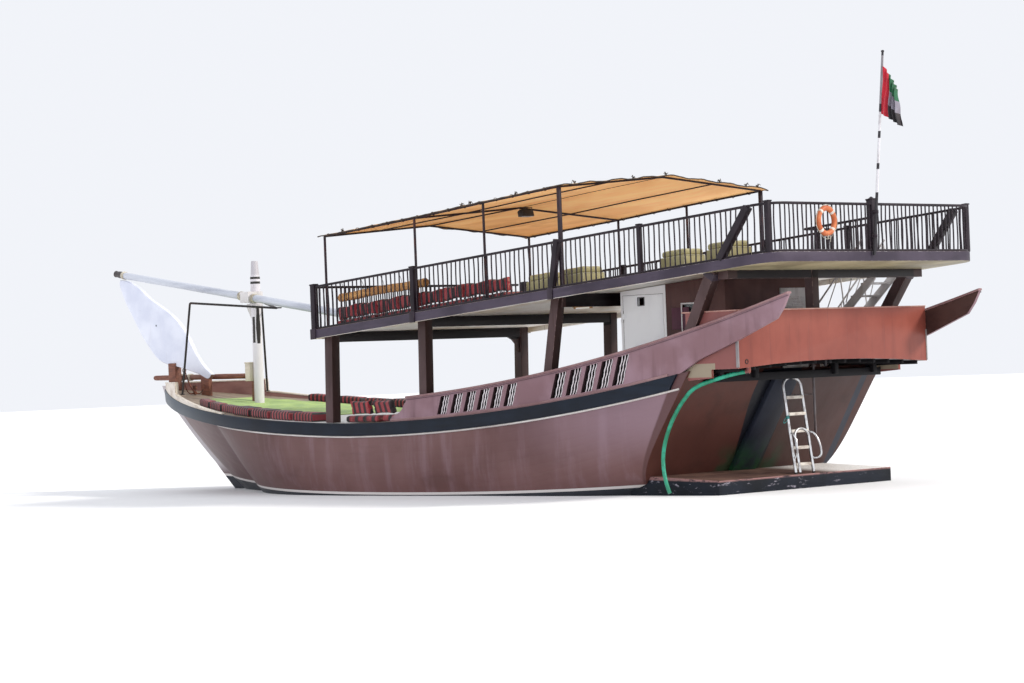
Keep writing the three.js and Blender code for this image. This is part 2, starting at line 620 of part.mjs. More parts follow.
// Upper deck with its fascia, open over the stairs
const STAIRWELL = { x0: -9900, x1: -8150, y0: -3100, y1: -2250 };
function afterCorners(inset) {
  const radius = DECK_CORNER - inset;
  const x = DECK_AFT_X + DECK_CORNER;
  const y = DECK_HALF - DECK_CORNER;
  const quarter = [0, 0.25, 0.5, 0.75, 1].map((f) => (f * Math.PI) / 2);
  const port = quarter.map((a) => [x - radius * Math.sin(a), y + radius * Math.cos(a)]);
  return { port, starboard: port.map(([px, py]) => [px, -py]).reverse() };
}
function deckOutline(inset) {
  const half = DECK_HALF - inset;
  const front = DECK_FRONT_X - inset;
  const { port, starboard } = afterCorners(inset);
  return [[front - 120, -half], [front, -half + 120], [front, half - 120], [front - 120, half],
    ...port, ...starboard];
}
const ceiling = floorPlate(deckOutline(90), -FASCIA - 50, -DECK_THICK)
  .intersect(block(LINED_AFT_X, DECK_FRONT_X, -DECK_HALF, DECK_HALF, -FASCIA - 50, 0));
const slab = floorPlate(deckOutline(0), -FASCIA, 0).subtract(ceiling);
const well = block(STAIRWELL.x0, STAIRWELL.x1, STAIRWELL.y0, STAIRWELL.y1, -500, 500);
const upperDeck = add("upper_deck", onDeck(slab.subtract(well)), plumPaint);

// Portal frames that carry the upper deck: post heels and heads, beam height, post sizes
const FRAMES = [
  { name: "front_frame", heel: 1270, head: 1200, post: 240, y: 3030 },
  { name: "second_frame", heel: -1640, head: -1700, post: 230, y: 2970 },
  { name: "third_frame", heel: -5200, head: -5680, post: 210, y: 2970 },
];
const BEAM_DEPTH = 160;
for (const { name, heel, head, post, y } of FRAMES) {
  const top = deckZ(head, -FASCIA);
  const legs = [-1, 1].map((s) =>
    timber([heel, s * y, sheerZ(heel) - 150], [head, s * y, top + 200], post));
  const beam = block(head - 90, head + 90, -y, y, top - BEAM_DEPTH, top + 200);
  let portal = join([...legs, beam]);
  portal = cutBy(cutBy(portal, rawHull, 0, 0, 1), upperDeck, 0, 0, -1);
  add(name, portal, plumPaint);
}

// Raked struts, pillar and beam under the aft end of the upper deck
const STRUT = { foot: [-8650, 2930, 2200], headX: -10060, headY: 3170, size: 230 };
const strutHead = deckZ(STRUT.headX, -FASCIA);
const afterBeam = deckZ(-10300, -FASCIA);
let aftFrame = join([
  ...[-1, 1].map((s) => timber([STRUT.foot[0], s * STRUT.foot[1], STRUT.foot[2]],
    [STRUT.headX, s * STRUT.headY, strutHead + 60], STRUT.size)),
  block(-10390, -10140, -STRUT.headY, STRUT.headY, afterBeam - BEAM_DEPTH, afterBeam + 50),
  block(-10400, -10200, 340, 540, 2500, afterBeam),
]);
aftFrame = cutBy(cutBy(aftFrame, upperDeck, 0, 0, -1), rawHull, 0, 0, 1);
for (const side of [bulwarkPort, mirrored(bulwarkPort)]) aftFrame = clearOf(aftFrame, side);
aftFrame = cutBy(cutBy(aftFrame, gallery, 0, 0, 1), gallery, 1, 0, 0);
add("aft_frame", aftFrame, plumPaint);

// Rails: heavy posts and thin balusters between a sill and a hand rail
function railPath(points, posts) {
  const pieces = [];
  for (let i = 0; i < points.length - 1; i++) {
    const [ax, ay] = points[i];
    const [bx, by] = points[i + 1];
    const length = Math.hypot(bx - ax, by - ay);
    const turn = Math.atan2(by - ay, bx - ax);
    const strip = (width, low, high, over) =>
      toSolid(new THREE.BoxGeometry(length + over, width, high - low)
        .rotateZ(turn).translate((ax + bx) / 2, (ay + by) / 2, (low + high) / 2));
    pieces.push(strip(40, GAP, 45, 20), strip(60, RAIL_HEIGHT - 45, RAIL_HEIGHT, 30));
    const count = Math.max(1, Math.round(length / BALUSTER_PITCH));
    for (let k = 0; k < count; k++) {
      const t = (k + 0.5) / count;
      pieces.push(toSolid(new THREE.BoxGeometry(BALUSTER, BALUSTER, RAIL_HEIGHT - 60)
        .rotateZ(turn).translate(ax + t * (bx - ax), ay + t * (by - ay), (RAIL_HEIGHT - 20) / 2)));
    }
  }
  for (const [x, y, size, height] of posts) {
    pieces.push(block(x - size / 2, x + size / 2, y - size / 2, y + size / 2, GAP, height));
  }
  return onDeck(join(pieces));
}

const RAIL_INSET = 60;
const RAIL_Y = DECK_HALF - RAIL_INSET;
const RAIL_FRONT = DECK_FRONT_X - RAIL_INSET;
const RAIL_AFT = DECK_AFT_X + RAIL_INSET;
// Posts: x, y, size, height
const sidePosts = [[1370, RAIL_Y, 130, 1010], [-1780, RAIL_Y, 110, 1000], [-5950, RAIL_Y, 110, 1000],
  [-8300, RAIL_Y, 90, 1000]];
const RAKED_POST = { foot: -10400, head: -11130, size: 150 };
const rakedPost = onDeck(timber([RAKED_POST.foot, RAIL_Y, 60], [RAKED_POST.head, RAIL_Y, RAIL_HEIGHT - 30],
  RAKED_POST.size)).subtract(upperDeck);
const sideRail = railPath([[DECK_AFT_X + DECK_CORNER + 40, RAIL_Y], [1380, RAIL_Y]], sidePosts);
const rail = add("rail_port", sideRail.add(rakedPost), plumPaint);
add("rail_starboard", mirrored(rail), plumPaint);
const frontRail = railPath([[RAIL_FRONT, -RAIL_Y + 150], [RAIL_FRONT, RAIL_Y - 150]], []);
add("rail_front", frontRail, plumPaint);
const railCorners = afterCorners(RAIL_INSET);
const [, , cornerPost] = railCorners.port;
const aftPath = [...railCorners.port, ...railCorners.starboard];
const CENTRE_POST_Y = 100;
const aftRail = railPath(aftPath, [
  [RAIL_AFT + 20, CENTRE_POST_Y, 150, 1090],
  [cornerPost[0], cornerPost[1], 110, 1010],
  [cornerPost[0], -cornerPost[1], 110, 1010],
]);
// The flagstaff stands outside the rail, in two clamps on the centre post
const STAFF_FOOT = [-11745, 225, 4650];
const STAFF_TOP = [-12000, 30, 8730];
const STAFF_RADIUS = 32;
const STAFF_HEAD_RADIUS = 24;
const staffClamps = [5000, 5480].map((z) => block(-11850, -11640, CENTRE_POST_Y, 270, z, z + 70));
const staffHole = pole(STAFF_FOOT, STAFF_TOP, STAFF_RADIUS + GAP, 10, STAFF_HEAD_RADIUS + GAP);
add("rail_aft", join([aftRail, ...staffClamps]).subtract(staffHole), plumPaint);
const wellPath = [[STAIRWELL.x1 + 60, STAIRWELL.y0], [STAIRWELL.x1 + 60, STAIRWELL.y1 + 60],
  [STAIRWELL.x0, STAIRWELL.y1 + 60]];
add("stairwell_rail", railPath(wellPath, []), plumPaint);

// Stairs from the main deck to the upper deck
const STEPS = 9;
const stairLow = [-7350, sheerZ(-7350)];
const stairHigh = [-9850, deckZ(-9850) - 120];
const stairAt = (t) => [
  stairLow[0] + t * (stairHigh[0] - stairLow[0]),
  stairLow[1] + t * (stairHigh[1] - stairLow[1]),
];
const stairParts = [-2990, -2290].map((y) =>
  sidePlate([
    [stairLow[0] + 60, stairLow[1] - 40], [stairLow[0] - 240, stairLow[1] - 40],
    [stairHigh[0], stairHigh[1] - 220], [stairHigh[0], stairHigh[1]],
  ].reverse(), y, y + 45));
for (let i = 1; i < STEPS; i++) {
  const [x, z] = stairAt(i / STEPS);
  stairParts.push(block(x - 150, x + 110, -2970, -2260, z - 70, z - 30));
}
add("stairs", cutBy(join(stairParts), rawHull, 0, 0, 1), whitePaint);

// Cabin on the main deck: hollow, with a doorway, windows and a hinged door
const CABIN = { x0: -8900, x1: -6050, half: 1500, wall: 60 };
const DOOR = { x0: -7220, x1: -6120, high: 4090, thick: 45 };
const cabinTop = (x) => deckZ(x, -DECK_THICK - 15);
const cabinOutline = [
  [CABIN.x0, 2100], [CABIN.x1, 1700], [CABIN.x1, cabinTop(CABIN.x1)], [CABIN.x0, cabinTop(CABIN.x0)],
];
const innerOutline = [
  [CABIN.x0 + CABIN.wall, 1500], [CABIN.x1 - CABIN.wall, 1500],
  [CABIN.x1 - CABIN.wall, cabinTop(CABIN.x1) - CABIN.wall], [CABIN.x0 + CABIN.wall, cabinTop(CABIN.x0) - CABIN.wall],
];
let cabin = sidePlate(cabinOutline, -CABIN.half, CABIN.half)
  .subtract(sidePlate(innerOutline, -CABIN.half + CABIN.wall, CABIN.half - CABIN.wall));
const WINDOWS = [
  [-8150, -7750, 1400, 1600, 3300, 3850],
  [-7900, -6700, -1600, -1400, 3250, 3850],
  [CABIN.x1 - 100, CABIN.x1 + 50, -1100, -200, 3100, 3750],
  [CABIN.x1 - 100, CABIN.x1 + 50, 200, 1100, 3100, 3750],
  [CABIN.x0 - 50, CABIN.x0 + 100, -1100, -300, 3300, 3900],
];
const doorLow = sheerZ(DOOR.x0) + 30;
const opening = block(DOOR.x0 - 8, DOOR.x1 + 8, 1300, 1600, doorLow - 8, DOOR.high + 8);
for (const w of WINDOWS) cabin = cabin.subtract(block(...w));
cabin = cutBy(cabin.subtract(opening), rawHull, 0, 0, 1);
// Hinge: the door's pin turns between two knuckles, each on a leaf screwed to the wall
const PIN = { radius: 13, y: CABIN.half + 14, heights: [2500, 3600], length: 120, leaf: 70 };
const knuckle = (low, high) => [
  pole([DOOR.x1, PIN.y, low], [DOOR.x1, PIN.y, high], PIN.radius, 8),
  block(DOOR.x1, DOOR.x1 + PIN.leaf, CABIN.half, CABIN.half + 12, low, high),
];
const knuckles = PIN.heights.flatMap((z) => [
  ...knuckle(z - 60, z - GAP),
  ...knuckle(z + PIN.length + GAP, z + PIN.length + 60),
]);
add("cabin", join([cabin, ...knuckles]), rosePaint);
const doorPanel = block(DOOR.x0, DOOR.x1, 1500 - DOOR.thick, 1500, doorLow, DOOR.high)
  .subtract(block(-6700, -6540, 1400, 1600, 3880, 4030));
const hinges = PIN.heights.flatMap((z) => [
  pole([DOOR.x1, PIN.y, z], [DOOR.x1, PIN.y, z + PIN.length], PIN.radius, 8),
  block(DOOR.x1 - PIN.leaf, DOOR.x1, CABIN.half - 5, CABIN.half + 12, z, z + PIN.length),
]);
add("cabin_door", join([doorPanel, ...hinges]), whitePaint);

// Awning frame on the upper deck and its canvas
const BAYS = [
  { x: 1060, eave: 5740 },
  { x: -1790, eave: 5970 },
  { x: -3870, eave: 6170 },
  { x: -6040, eave: 6360 },
];
const EAVE_Y = 3270;
const RIDGE_RISE = 250;
const AWNING_PIPE = 28;
const awningParts = [];
BAYS.forEach(({ x, eave }, i) => {
  for (const s of [-1, 1]) {
    awningParts.push(pole([x, s * EAVE_Y, deckZ(x) + GAP], [x, s * EAVE_Y, eave], AWNING_PIPE, 6));
    awningParts.push(pole([x, s * (EAVE_Y + 10), eave], [x, 0, eave + RIDGE_RISE], 22, 6));
    if (i > 0) {
      const { x: px, eave: pe } = BAYS[i - 1];
      awningParts.push(pole([px + 10, s * EAVE_Y, pe], [x - 10, s * EAVE_Y, eave], 22, 6));
    }
  }
  if (i > 0) {
    const { x: px, eave: pe } = BAYS[i - 1];
    awningParts.push(pole([px + 10, 0, pe + RIDGE_RISE], [x - 10, 0, eave + RIDGE_RISE], 22, 6));
  }
});
const awningFrame = add("awning_frame", cutBy(join(awningParts), upperDeck, 0, 0, 1), darkSteel);
const CANVAS_THICK = 14;
const canvasRing = ({ x, eave }, over) => {
  const low = eave + 30;
  const high = eave + RIDGE_RISE + 30;
  const half = EAVE_Y + 70;
  return [
    [x + over, -half, low - 6], [x + over, 0, high], [x + over, half, low - 6],
    [x + over, half, low - 6 + CANVAS_THICK], [x + over, 0, high + CANVAS_THICK],
    [x + over, -half, low - 6 + CANVAS_THICK],
  ];
};
const canvasRings = [canvasRing(BAYS[0], 150), canvasRing(BAYS[1], 0), canvasRing(BAYS[2], 0),
  canvasRing(BAYS[3], -150)];
add("awning", cutBy(loft(canvasRings), awningFrame, 0, 0, 1), tanCanvas);

// Floodlight under the ridge
const lampZ = 6010;
let floodlight = join([
  block(-2080, -1900, -130, 130, lampZ, lampZ + 170),
  block(-2010, -1970, -20, 20, lampZ + 150, lampZ + 300),
]);
floodlight = cutBy(floodlight, awningFrame, 0, 0, -1);
add("floodlight", floodlight, darkSteel);

// Flagstaff and its limp flag
const staffAt = (z) => {
  const t = (z - STAFF_FOOT[2]) / (STAFF_TOP[2] - STAFF_FOOT[2]);
  return STAFF_FOOT.map((v, i) => v + t * (STAFF_TOP[i] - v));
};
const staff = pole(STAFF_FOOT, STAFF_TOP, STAFF_RADIUS, 10, STAFF_HEAD_RADIUS);
add("flagstaff", staff, whitePaint);
const [flagX, flagY] = staffAt(8000);
const flag = join([
  sidePlate([[flagX - 40, 8450], [flagX - 330, 8150], [flagX - 520, 7250], [flagX - 360, 7150],
    [flagX + 10, 7430]], flagY - 20, flagY + 20),
]);
add("flag", cutBy(flag, staff, -1, 0, 0), redCloth);

// Life ring tied flat against the balusters of the aft rail
const RING = { radius: 250, section: 55, y: 1680, z: 5330 };
const ringProfile = [];
for (let i = 0; i <= 8; i++) {
  const a = (i * Math.PI) / 4;
  ringProfile.push(new THREE.Vector2(RING.radius + RING.section * Math.cos(a), RING.section * Math.sin(a)));
}
const lifeRing = new THREE.LatheGeometry(ringProfile, 20).rotateZ(-Math.PI / 2);
lifeRing.translate(RAIL_AFT - RING.section - BALUSTER / 2 - GAP, RING.y, RING.z);
add("life_ring", toSolid(lifeRing), orangePlastic);

// Lamps under the upper deck's ceiling
for (const [i, x] of [-800, -3600].entries()) {
  const z = deckZ(x, -DECK_THICK) - 60;
  const lamp = cutBy(block(x - 250, x + 250, -80, 80, z, z + 120), upperDeck, 0, 0, -1);
  add("ceiling_lamp_" + (i + 1), lamp, glass);
}

// Cushions along the bow's sides and along the upper rails
const cushionRing = (x) => {
  const out = sheerHalf(x) - 90;
  const z = sheerZ(x) - 40;
  return [[x, out - 620, z], [x, out, z], [x, out, z + 190], [x, out - 620, z + 190]];
};
const bowCushion = cutBy(loft([1850, 2500, 3800, 5000].map(cushionRing)), rawHull, 0, 0, 1);
add("bow_cushions_port", bowCushion, redCloth);
add("bow_cushions_starboard", mirrored(bowCushion), redCloth);
const railCushion = onDeck(
  join([
    block(-4400, 900, 2560, 3220, GAP, 130),
    block(-4400, 900, 3060, 3220, 100, 450),
  ]),
);
add("rail_cushions_port", railCushion, redCloth);
add("rail_cushions_starboard", mirrored(railCushion), redCloth);
const BENCHES = [-5100, -6080, -8820, -10020];
BENCHES.forEach((x, i) => {
  add("bench_" + (i + 1), onDeck(block(x - 320, x + 320, 2350, 3000, GAP, 400)), creamPaint);
});

// Rolled side awning lashed inside the port rail
const ROLL = { x0: -1930, x1: 760, h: 640, radius: 110 };
const rollY = EAVE_Y - AWNING_PIPE - ROLL.radius - GAP;
add("rolled_awning", onDeck(pole([ROLL.x0, rollY, ROLL.h], [ROLL.x1, rollY, ROLL.h], ROLL.radius, 12)), tanCanvas);

const hoseSection = new THREE.Shape();
for (let i = 0; i < 8; i++) {
  const a = (i * Math.PI) / 4;
  const point = [HOSE_RADIUS * Math.cos(a), HOSE_RADIUS * Math.sin(a)];
  if (i === 0) hoseSection.moveTo(...point);
  else hoseSection.lineTo(...point);
}
hoseSection.closePath();
const hoseTube = new THREE.ExtrudeGeometry(hoseSection, { steps: 20, extrudePath: hosePath });
add("hose", toSolid(hoseTube), greenHose);

export default boat;
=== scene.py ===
import math
from math import cos, pi, radians, sin, sqrt

import bpy
import numpy as np
from mathutils import Matrix, Vector


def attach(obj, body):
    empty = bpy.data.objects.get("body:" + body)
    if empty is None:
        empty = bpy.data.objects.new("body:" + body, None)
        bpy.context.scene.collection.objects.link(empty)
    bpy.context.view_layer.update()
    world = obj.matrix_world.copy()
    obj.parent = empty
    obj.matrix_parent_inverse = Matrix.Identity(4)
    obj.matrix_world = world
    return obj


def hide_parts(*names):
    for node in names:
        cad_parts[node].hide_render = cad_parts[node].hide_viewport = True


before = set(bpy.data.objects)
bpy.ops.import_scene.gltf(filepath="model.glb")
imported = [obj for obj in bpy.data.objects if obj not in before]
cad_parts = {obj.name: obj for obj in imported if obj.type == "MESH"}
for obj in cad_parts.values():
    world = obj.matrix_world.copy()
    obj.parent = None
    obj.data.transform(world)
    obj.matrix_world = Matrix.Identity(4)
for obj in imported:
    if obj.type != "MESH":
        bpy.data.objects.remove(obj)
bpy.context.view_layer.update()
bpy.ops.object.select_all(action="DESELECT")


# Camera: on the port quarter a little above the water, far off, with a long lens. Its place and
# angles are those that the frame's solids were drawn to.
PICTURE_WIDTH = 1024
PHOTO_FOCUS = 3100  # in pixels
CAMERA_AT = (-49.385, 49.74, 2.746)
HEADING, TILT, ROLL = -46.03341244, 0.43124085, -2.22059168  # in degrees
lens = bpy.data.cameras.new("camera")
lens.sensor_fit = "HORIZONTAL"
lens.sensor_width = 36.0
lens.lens = PHOTO_FOCUS * lens.sensor_width / PICTURE_WIDTH
lens.clip_end = 500
camera = bpy.data.objects.new("camera", lens)
bpy.context.collection.objects.link(camera)
placed = Matrix.Translation(CAMERA_AT)
for angle, axis in ((HEADING - 90, "Z"), (90 + TILT, "X"), (ROLL, "Z")):
    placed = placed @ Matrix.Rotation(radians(angle), 4, axis)
camera.matrix_world = placed
bpy.context.scene.camera = camera


# Discharge hose: green corrugated plastic, from its elbow under the gallery box, round the
# quarter and down to the water. Both ends are seen.
class Term:
    """A number in a finish's node tree; arithmetic on it adds the Math nodes."""

    def __init__(self, finish, socket):
        self.finish = finish
        self.socket = socket

    def math(self, operation, *terms):
        return self.finish.node("Math", {"operation": operation}, dict(enumerate(terms)))

    def __add__(self, other):
        return self.math("ADD", self, other)

    def __sub__(self, other):
        return self.math("SUBTRACT", self, other)

    def __rsub__(self, other):
        return self.math("SUBTRACT", other, self)

    def __mul__(self, other):
        return self.math("MULTIPLY", self, other)

    def __truediv__(self, other):
        return self.math("DIVIDE", self, other)

    def __mod__(self, other):
        return self.math("FLOORED_MODULO", self, other)

    def __lt__(self, other):
        return self.math("LESS_THAN", self, other)

    def __gt__(self, other):
        return self.math("GREATER_THAN", self, other)

    def __abs__(self):
        return self.math("ABSOLUTE", self)

    __radd__ = __add__
    __rmul__ = __mul__

    def eased(self, low, high):
        """0 below low and 1 above high, with a smooth step between."""
        return self.finish.node("MapRange", {"interpolation_type": "SMOOTHSTEP"}, {0: self, 1: low, 2: high})

    def between(self, low, high):
        return (self > low) * (self < high)

    def off_middle(self, width, start=20.0):
        """How far it is from the middle of its board, where boards of the width lie side by side."""
        return abs((self + start) % width - width / 2)


def paint_rgb(code):
    """A mixed paint's sRGB code as linear colour."""
    parts = [((code >> shift) & 255) / 255 for shift in (16, 8, 0)]
    return tuple(c / 12.92 if c < 0.04045 else ((c + 0.055) / 1.055) ** 2.4 for c in parts) + (1.0,)


class Finish:
    """A material: its even values are set on the shader, its uneven ones come from nodes."""

    def __init__(self, name, roughness=0.5, **sockets):
        self.material = bpy.data.materials.new(name)
        self.material.use_nodes = True
        self.tree = self.material.node_tree
        self.shader = self.tree.nodes["Principled BSDF"]
        self.shader.inputs["Roughness"].default_value = roughness
        for socket, value in sockets.items():
            self.shader.inputs[socket.replace("_", " ")].default_value = value
        self.place = self.node("TexCoord", output="Object")
        self.x, self.y, self.z = self.parts(self.place)

    def node(self, kind, settings=None, sockets=None, output=0):
        made = self.tree.nodes.new("ShaderNode" + kind)
        for key, value in (settings or {}).items():
            setattr(made, key, value)
        for key, value in (sockets or {}).items():
            if isinstance(value, Term):
                self.tree.links.new(value.socket, made.inputs[key])
            else:
                made.inputs[key].default_value = value
        return Term(self, made.outputs[output])

    def parts(self, vector):
        split = self.node("SeparateXYZ", sockets={0: vector})
        return [Term(self, out) for out in split.socket.node.outputs]

    def noise(self, scale, stretch=(1, 1, 1), detail=3.0, rough=0.55, swirl=0.0):
        place = self.node("Mapping", sockets={0: self.place, 3: stretch})
        return self.node("TexNoise", sockets={"Vector": place, "Scale": scale, "Detail": detail,
                                              "Roughness": rough, "Distortion": swirl})

    def mix(self, factor, first, second):
        """Two colours, each a paint code or a colour from nodes."""
        first, second = (c if isinstance(c, Term) else paint_rgb(c) for c in (first, second))
        return self.node("Mix", {"data_type": "RGBA"}, {0: factor, 6: first, 7: second}, 2)

    def coats(self, ground, *layers):
        """A ground, as a factor and two colours, and layers over it, as factors and a colour each."""
        colour = self.mix(*ground)
        for factor, paint in layers:
            colour = self.mix(factor, colour, paint)
        return colour

    def facing(self, axis):
        normal = self.node("NewGeometry", output="Normal")
        return self.parts(normal)["XYZ".index(axis)]

    def edges(self, width):
        """1 on the corners that hands, ropes and weather rub, 0 on the flats."""
        rounded = self.node("Bevel", {"samples": 4}, {"Radius": width})
        true = self.node("NewGeometry", output="Normal")
        alike = self.node("VectorMath", {"operation": "DOT_PRODUCT"}, {0: rounded, 1: true}, "Value")
        return (1 - alike).eased(0.02, 0.18)

    def link(self, socket, value):
        """Feeds a shader socket from nodes; an even value is left to the shader."""
        if isinstance(value, Term):
            self.tree.links.new(value.socket, self.shader.inputs[socket])

    def feed(self, colour, roughness=None, height=None, depth=0.003, alpha=None):
        for socket, value in (("Base Color", colour), ("Roughness", roughness), ("Alpha", alpha)):
            self.link(socket, value)
        if height is not None:
            bump = self.node("Bump", sockets={"Strength": 1.0, "Distance": depth, "Height": height})
            self.link("Normal", bump)

    def on(self, piece):
        piece.data.materials.clear()
        piece.data.materials.append(self.material)


def stained(name, pattern, change, clean, dirty, dull, spread, depth, **sockets):
    """A finish of two colours: one pattern of stains changes its colour, its gloss and its relief."""
    coat = Finish(name, dull, **sockets)
    stains = coat.noise(*pattern)
    gloss = dull + stains * spread if spread else None
    coat.feed(coat.mix(stains.eased(*change), clean, dirty), gloss, stains, depth)
    return coat


def through(points, steps):
    """A smooth line through the points, each span cut in steps."""
    knots = [np.array(point, float) for point in points]
    knots = [2 * knots[0] - knots[1]] + knots + [2 * knots[-1] - knots[-2]]
    line = []
    for a, b, c, d in zip(knots, knots[1:], knots[2:], knots[3:]):
        t1 = sqrt(np.linalg.norm(b - a))
        t2 = t1 + sqrt(np.linalg.norm(c - b))
        t3 = t2 + sqrt(np.linalg.norm(d - c))
        for t in np.linspace(t1, t2, steps, endpoint=False):
            ab = (t1 - t) / t1 * a + t / t1 * b
            bc = (t2 - t) / (t2 - t1) * b + (t - t1) / (t2 - t1) * c
            cd = (t3 - t) / (t3 - t2) * c + (t - t2) / (t3 - t2) * d
            abc = (t2 - t) / t2 * ab + t / t2 * bc
            bcd = (t3 - t) / (t3 - t1) * bc + (t - t1) / (t3 - t1) * cd
            line.append((t2 - t) / (t2 - t1) * abc + (t - t1) / (t2 - t1) * bcd)
    line.append(knots[-2])
    return np.array(line)


def evenly(line, count):
    """The same line cut at count even lengths, and how long it is."""
    run = np.concatenate([[0], np.cumsum(np.linalg.norm(np.diff(line, axis=0), axis=1))])
    at = np.linspace(0, run[-1], count)
    return np.stack([np.interp(at, run, line[:, axis]) for axis in range(3)], axis=1), run[-1]


def alone(piece):
    """Leaves this piece the only one picked, and the active one."""
    bpy.ops.object.select_all(action="DESELECT")
    piece.select_set(True)
    bpy.context.view_layer.objects.active = piece
    return piece


def outward(piece, merge=1e-5):
    """Merges a piece's doubles and turns its faces outwards."""
    alone(piece)
    bpy.ops.object.mode_set(mode="EDIT")
    bpy.ops.mesh.select_all(action="SELECT")
    bpy.ops.mesh.remove_doubles(threshold=merge)
    bpy.ops.mesh.normals_make_consistent(inside=False)
    bpy.ops.object.mode_set(mode="OBJECT")
    return piece


def finished(piece, slot, finish, stands_for=(), body="boat", smooth=30):
    """Shades a piece, sets its place in its mesh, and gives it its body and material; its slot is not used.
    """
    alone(piece)
    bpy.ops.object.transform_apply(location=True, rotation=True, scale=True)
    if smooth:
        bpy.ops.object.shade_smooth_by_angle(angle=radians(smooth))
    finish.on(piece)
    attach(piece, body)
    if stands_for:
        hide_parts(*stands_for)
    piece.select_set(False)
    return piece


def tube(name, line, radii, sides=12):
    """A round bar, pipe or rope along a line, closed at both ends."""
    line = np.array(line, float)
    curve = bpy.data.curves.new(name, "CURVE")
    curve.dimensions = "3D"
    curve.twist_mode = "MINIMUM"
    curve.bevel_depth = 1.0
    curve.bevel_resolution = max(0, sides // 2 - 2)
    curve.use_fill_caps = True
    spline = curve.splines.new("POLY")
    spline.points.add(len(line) - 1)
    radii = np.broadcast_to(radii, len(line))
    spline.points.foreach_set("co", np.hstack([line, np.ones((len(line), 1))]).ravel())
    spline.points.foreach_set("radius", radii.astype(float))
    piece = bpy.data.objects.new(name, curve)
    bpy.context.collection.objects.link(piece)
    alone(piece)
    bpy.ops.object.convert(target="MESH")
    piece = bpy.context.object
    piece.name = name
    return outward(piece, 1e-6)


HOSE_RADIUS = 0.042
HOSE_ROUTE = [
    (-10.38, 2.73, 2.43), (-10.27, 2.785, 2.416), (-10.16, 2.83, 2.395),
    (-9.9, 2.93, 2.33), (-9.55, 2.955, 2.245), (-9.4, 2.968, 2.2),
    (-9.25, 2.99, 2.13), (-9.15, 3.01, 2.06), (-9.06, 3.03, 1.96),
    (-8.95, 3.047, 1.838), (-8.85, 3.06, 1.7), (-8.75, 3.069, 1.555),
    (-8.66, 3.075, 1.4), (-8.585, 3.079, 1.243), (-8.52, 3.08, 1.08),
    (-8.475, 3.08, 0.922), (-8.45, 3.08, 0.76), (-8.45, 3.08, 0.595),
    (-8.47, 3.08, 0.43), (-8.515, 3.08, 0.25), (-8.59, 3.08, 0.06),
]
hose_line = through(HOSE_ROUTE, 24)
hose_length = evenly(hose_line, 2)[1]
rib_count = round(hose_length / 0.022)
hose_points, _ = evenly(hose_line, rib_count * 4 + 1)
rib = HOSE_RADIUS - 0.0022 * (1 - np.cos(np.arange(len(hose_points)) * pi / 2))
hose = tube("discharge_hose", hose_points, rib, 20)
green_plastic = Finish("green_hose_plastic", 0.38, Coat_Roughness=0.2)
chalked = green_plastic.noise(2.2, detail=5)
grubby = green_plastic.noise(14, detail=4).eased(0.45, 0.75)
hose_colour = green_plastic.coats(
    (chalked.eased(0.35, 0.7), 0x047A58, 0x27A384),
    (grubby * 0.45, 0x2C5A44),
    ((0.3 - green_plastic.z).eased(0.0, 0.3) * 0.4, 0x1D4F3C))
green_plastic.feed(hose_colour, 0.32 + grubby * 0.3, grubby, 0.001)
finished(hose, "green_hose", green_plastic, ["hose"], smooth=50)


# Floor, light and sky: the floor lies at the waterline. A sun over the starboard quarter, a broad
# fill from port and a pale sky light it.
bpy.ops.mesh.primitive_plane_add(size=400, location=(0, 0, 0))
floor = bpy.context.object
floor.name = "floor"
Finish("pale_floor", 0.85, Base_Color=paint_rgb(0xF2F2F3)).on(floor)
for name, energy, spread, tint, toward in (("sun", 2.6, 9, (1.0, 0.95, 0.88), (-0.75, -0.45, 0.62)),
                                           ("fill", 0.9, 70, (0.93, 0.96, 1.0), (-0.2, 0.95, 0.12))):
    light = bpy.data.lights.new(name, "SUN")
    light.energy, light.angle, light.color = energy, radians(spread), tint
    lamp = bpy.data.objects.new(name, light)
    bpy.context.collection.objects.link(lamp)
    lamp.rotation_euler = Vector(toward).to_track_quat("Z", "Y").to_euler()
sky = bpy.data.worlds.new("sky")
sky.use_nodes = True
for socket, value in (("Color", (0.93, 0.95, 1.0, 1.0)), ("Strength", 0.95)):
    sky.node_tree.nodes["Background"].inputs[socket].default_value = value
bpy.context.scene.world = sky
bpy.context.scene.view_settings.view_transform = "Standard"
bpy.context.scene.view_settings.look = "None"


# Hull planking: carvel-laid hardwood strakes over frames, painted brown that has faded to mauve on
# the side, red-brown on the transom, with a white boot stripe and dark paint under water. Painted
# light on it: a pale sky reflection behind the stem, a sky sheen towards the stern, and painted
# shade on the fore part of the side and on the starboard half of the transom.
SHEER_LOW_X = 0.5
SHEER_LOW_Z = 1.6
BOW_X = 10.66
BOW_RISE = 0.9
HALF_BEAM = 3.21
FULL_X = 2.5
FOREFOOT_X = 4.5
HULL_BOTTOM_Z = -1.3
TRANSOM_TOP = (-9.05, 2.17)
TRANSOM_LOW = (-7.8, 0.32)


def part_way(value, low, high):
    return min(1.0, max(0.0, (value - low) / (high - low)))


def sheer_height(x):
    if x < SHEER_LOW_X:
        return SHEER_LOW_Z + 0.00929 * (SHEER_LOW_X - x) ** 2
    return SHEER_LOW_Z + BOW_RISE * ((x - SHEER_LOW_X) / (BOW_X - SHEER_LOW_X)) ** 1.6


def sheer_half(x):
    if x > FULL_X:
        return HALF_BEAM * (1 - ((x - FULL_X) / (BOW_X - FULL_X)) ** 2)
    return HALF_BEAM - 0.07 * part_way(-x, 6.0, 9.05)


def bottom_height(x):
    if x > FOREFOOT_X:
        rise = sheer_height(BOW_X) - HULL_BOTTOM_Z
        return HULL_BOTTOM_Z + rise * ((x - FOREFOOT_X) / (BOW_X - FOREFOOT_X)) ** 1.715
    return HULL_BOTTOM_Z + (max(0, -2.0 - x) / 5.3) ** 2


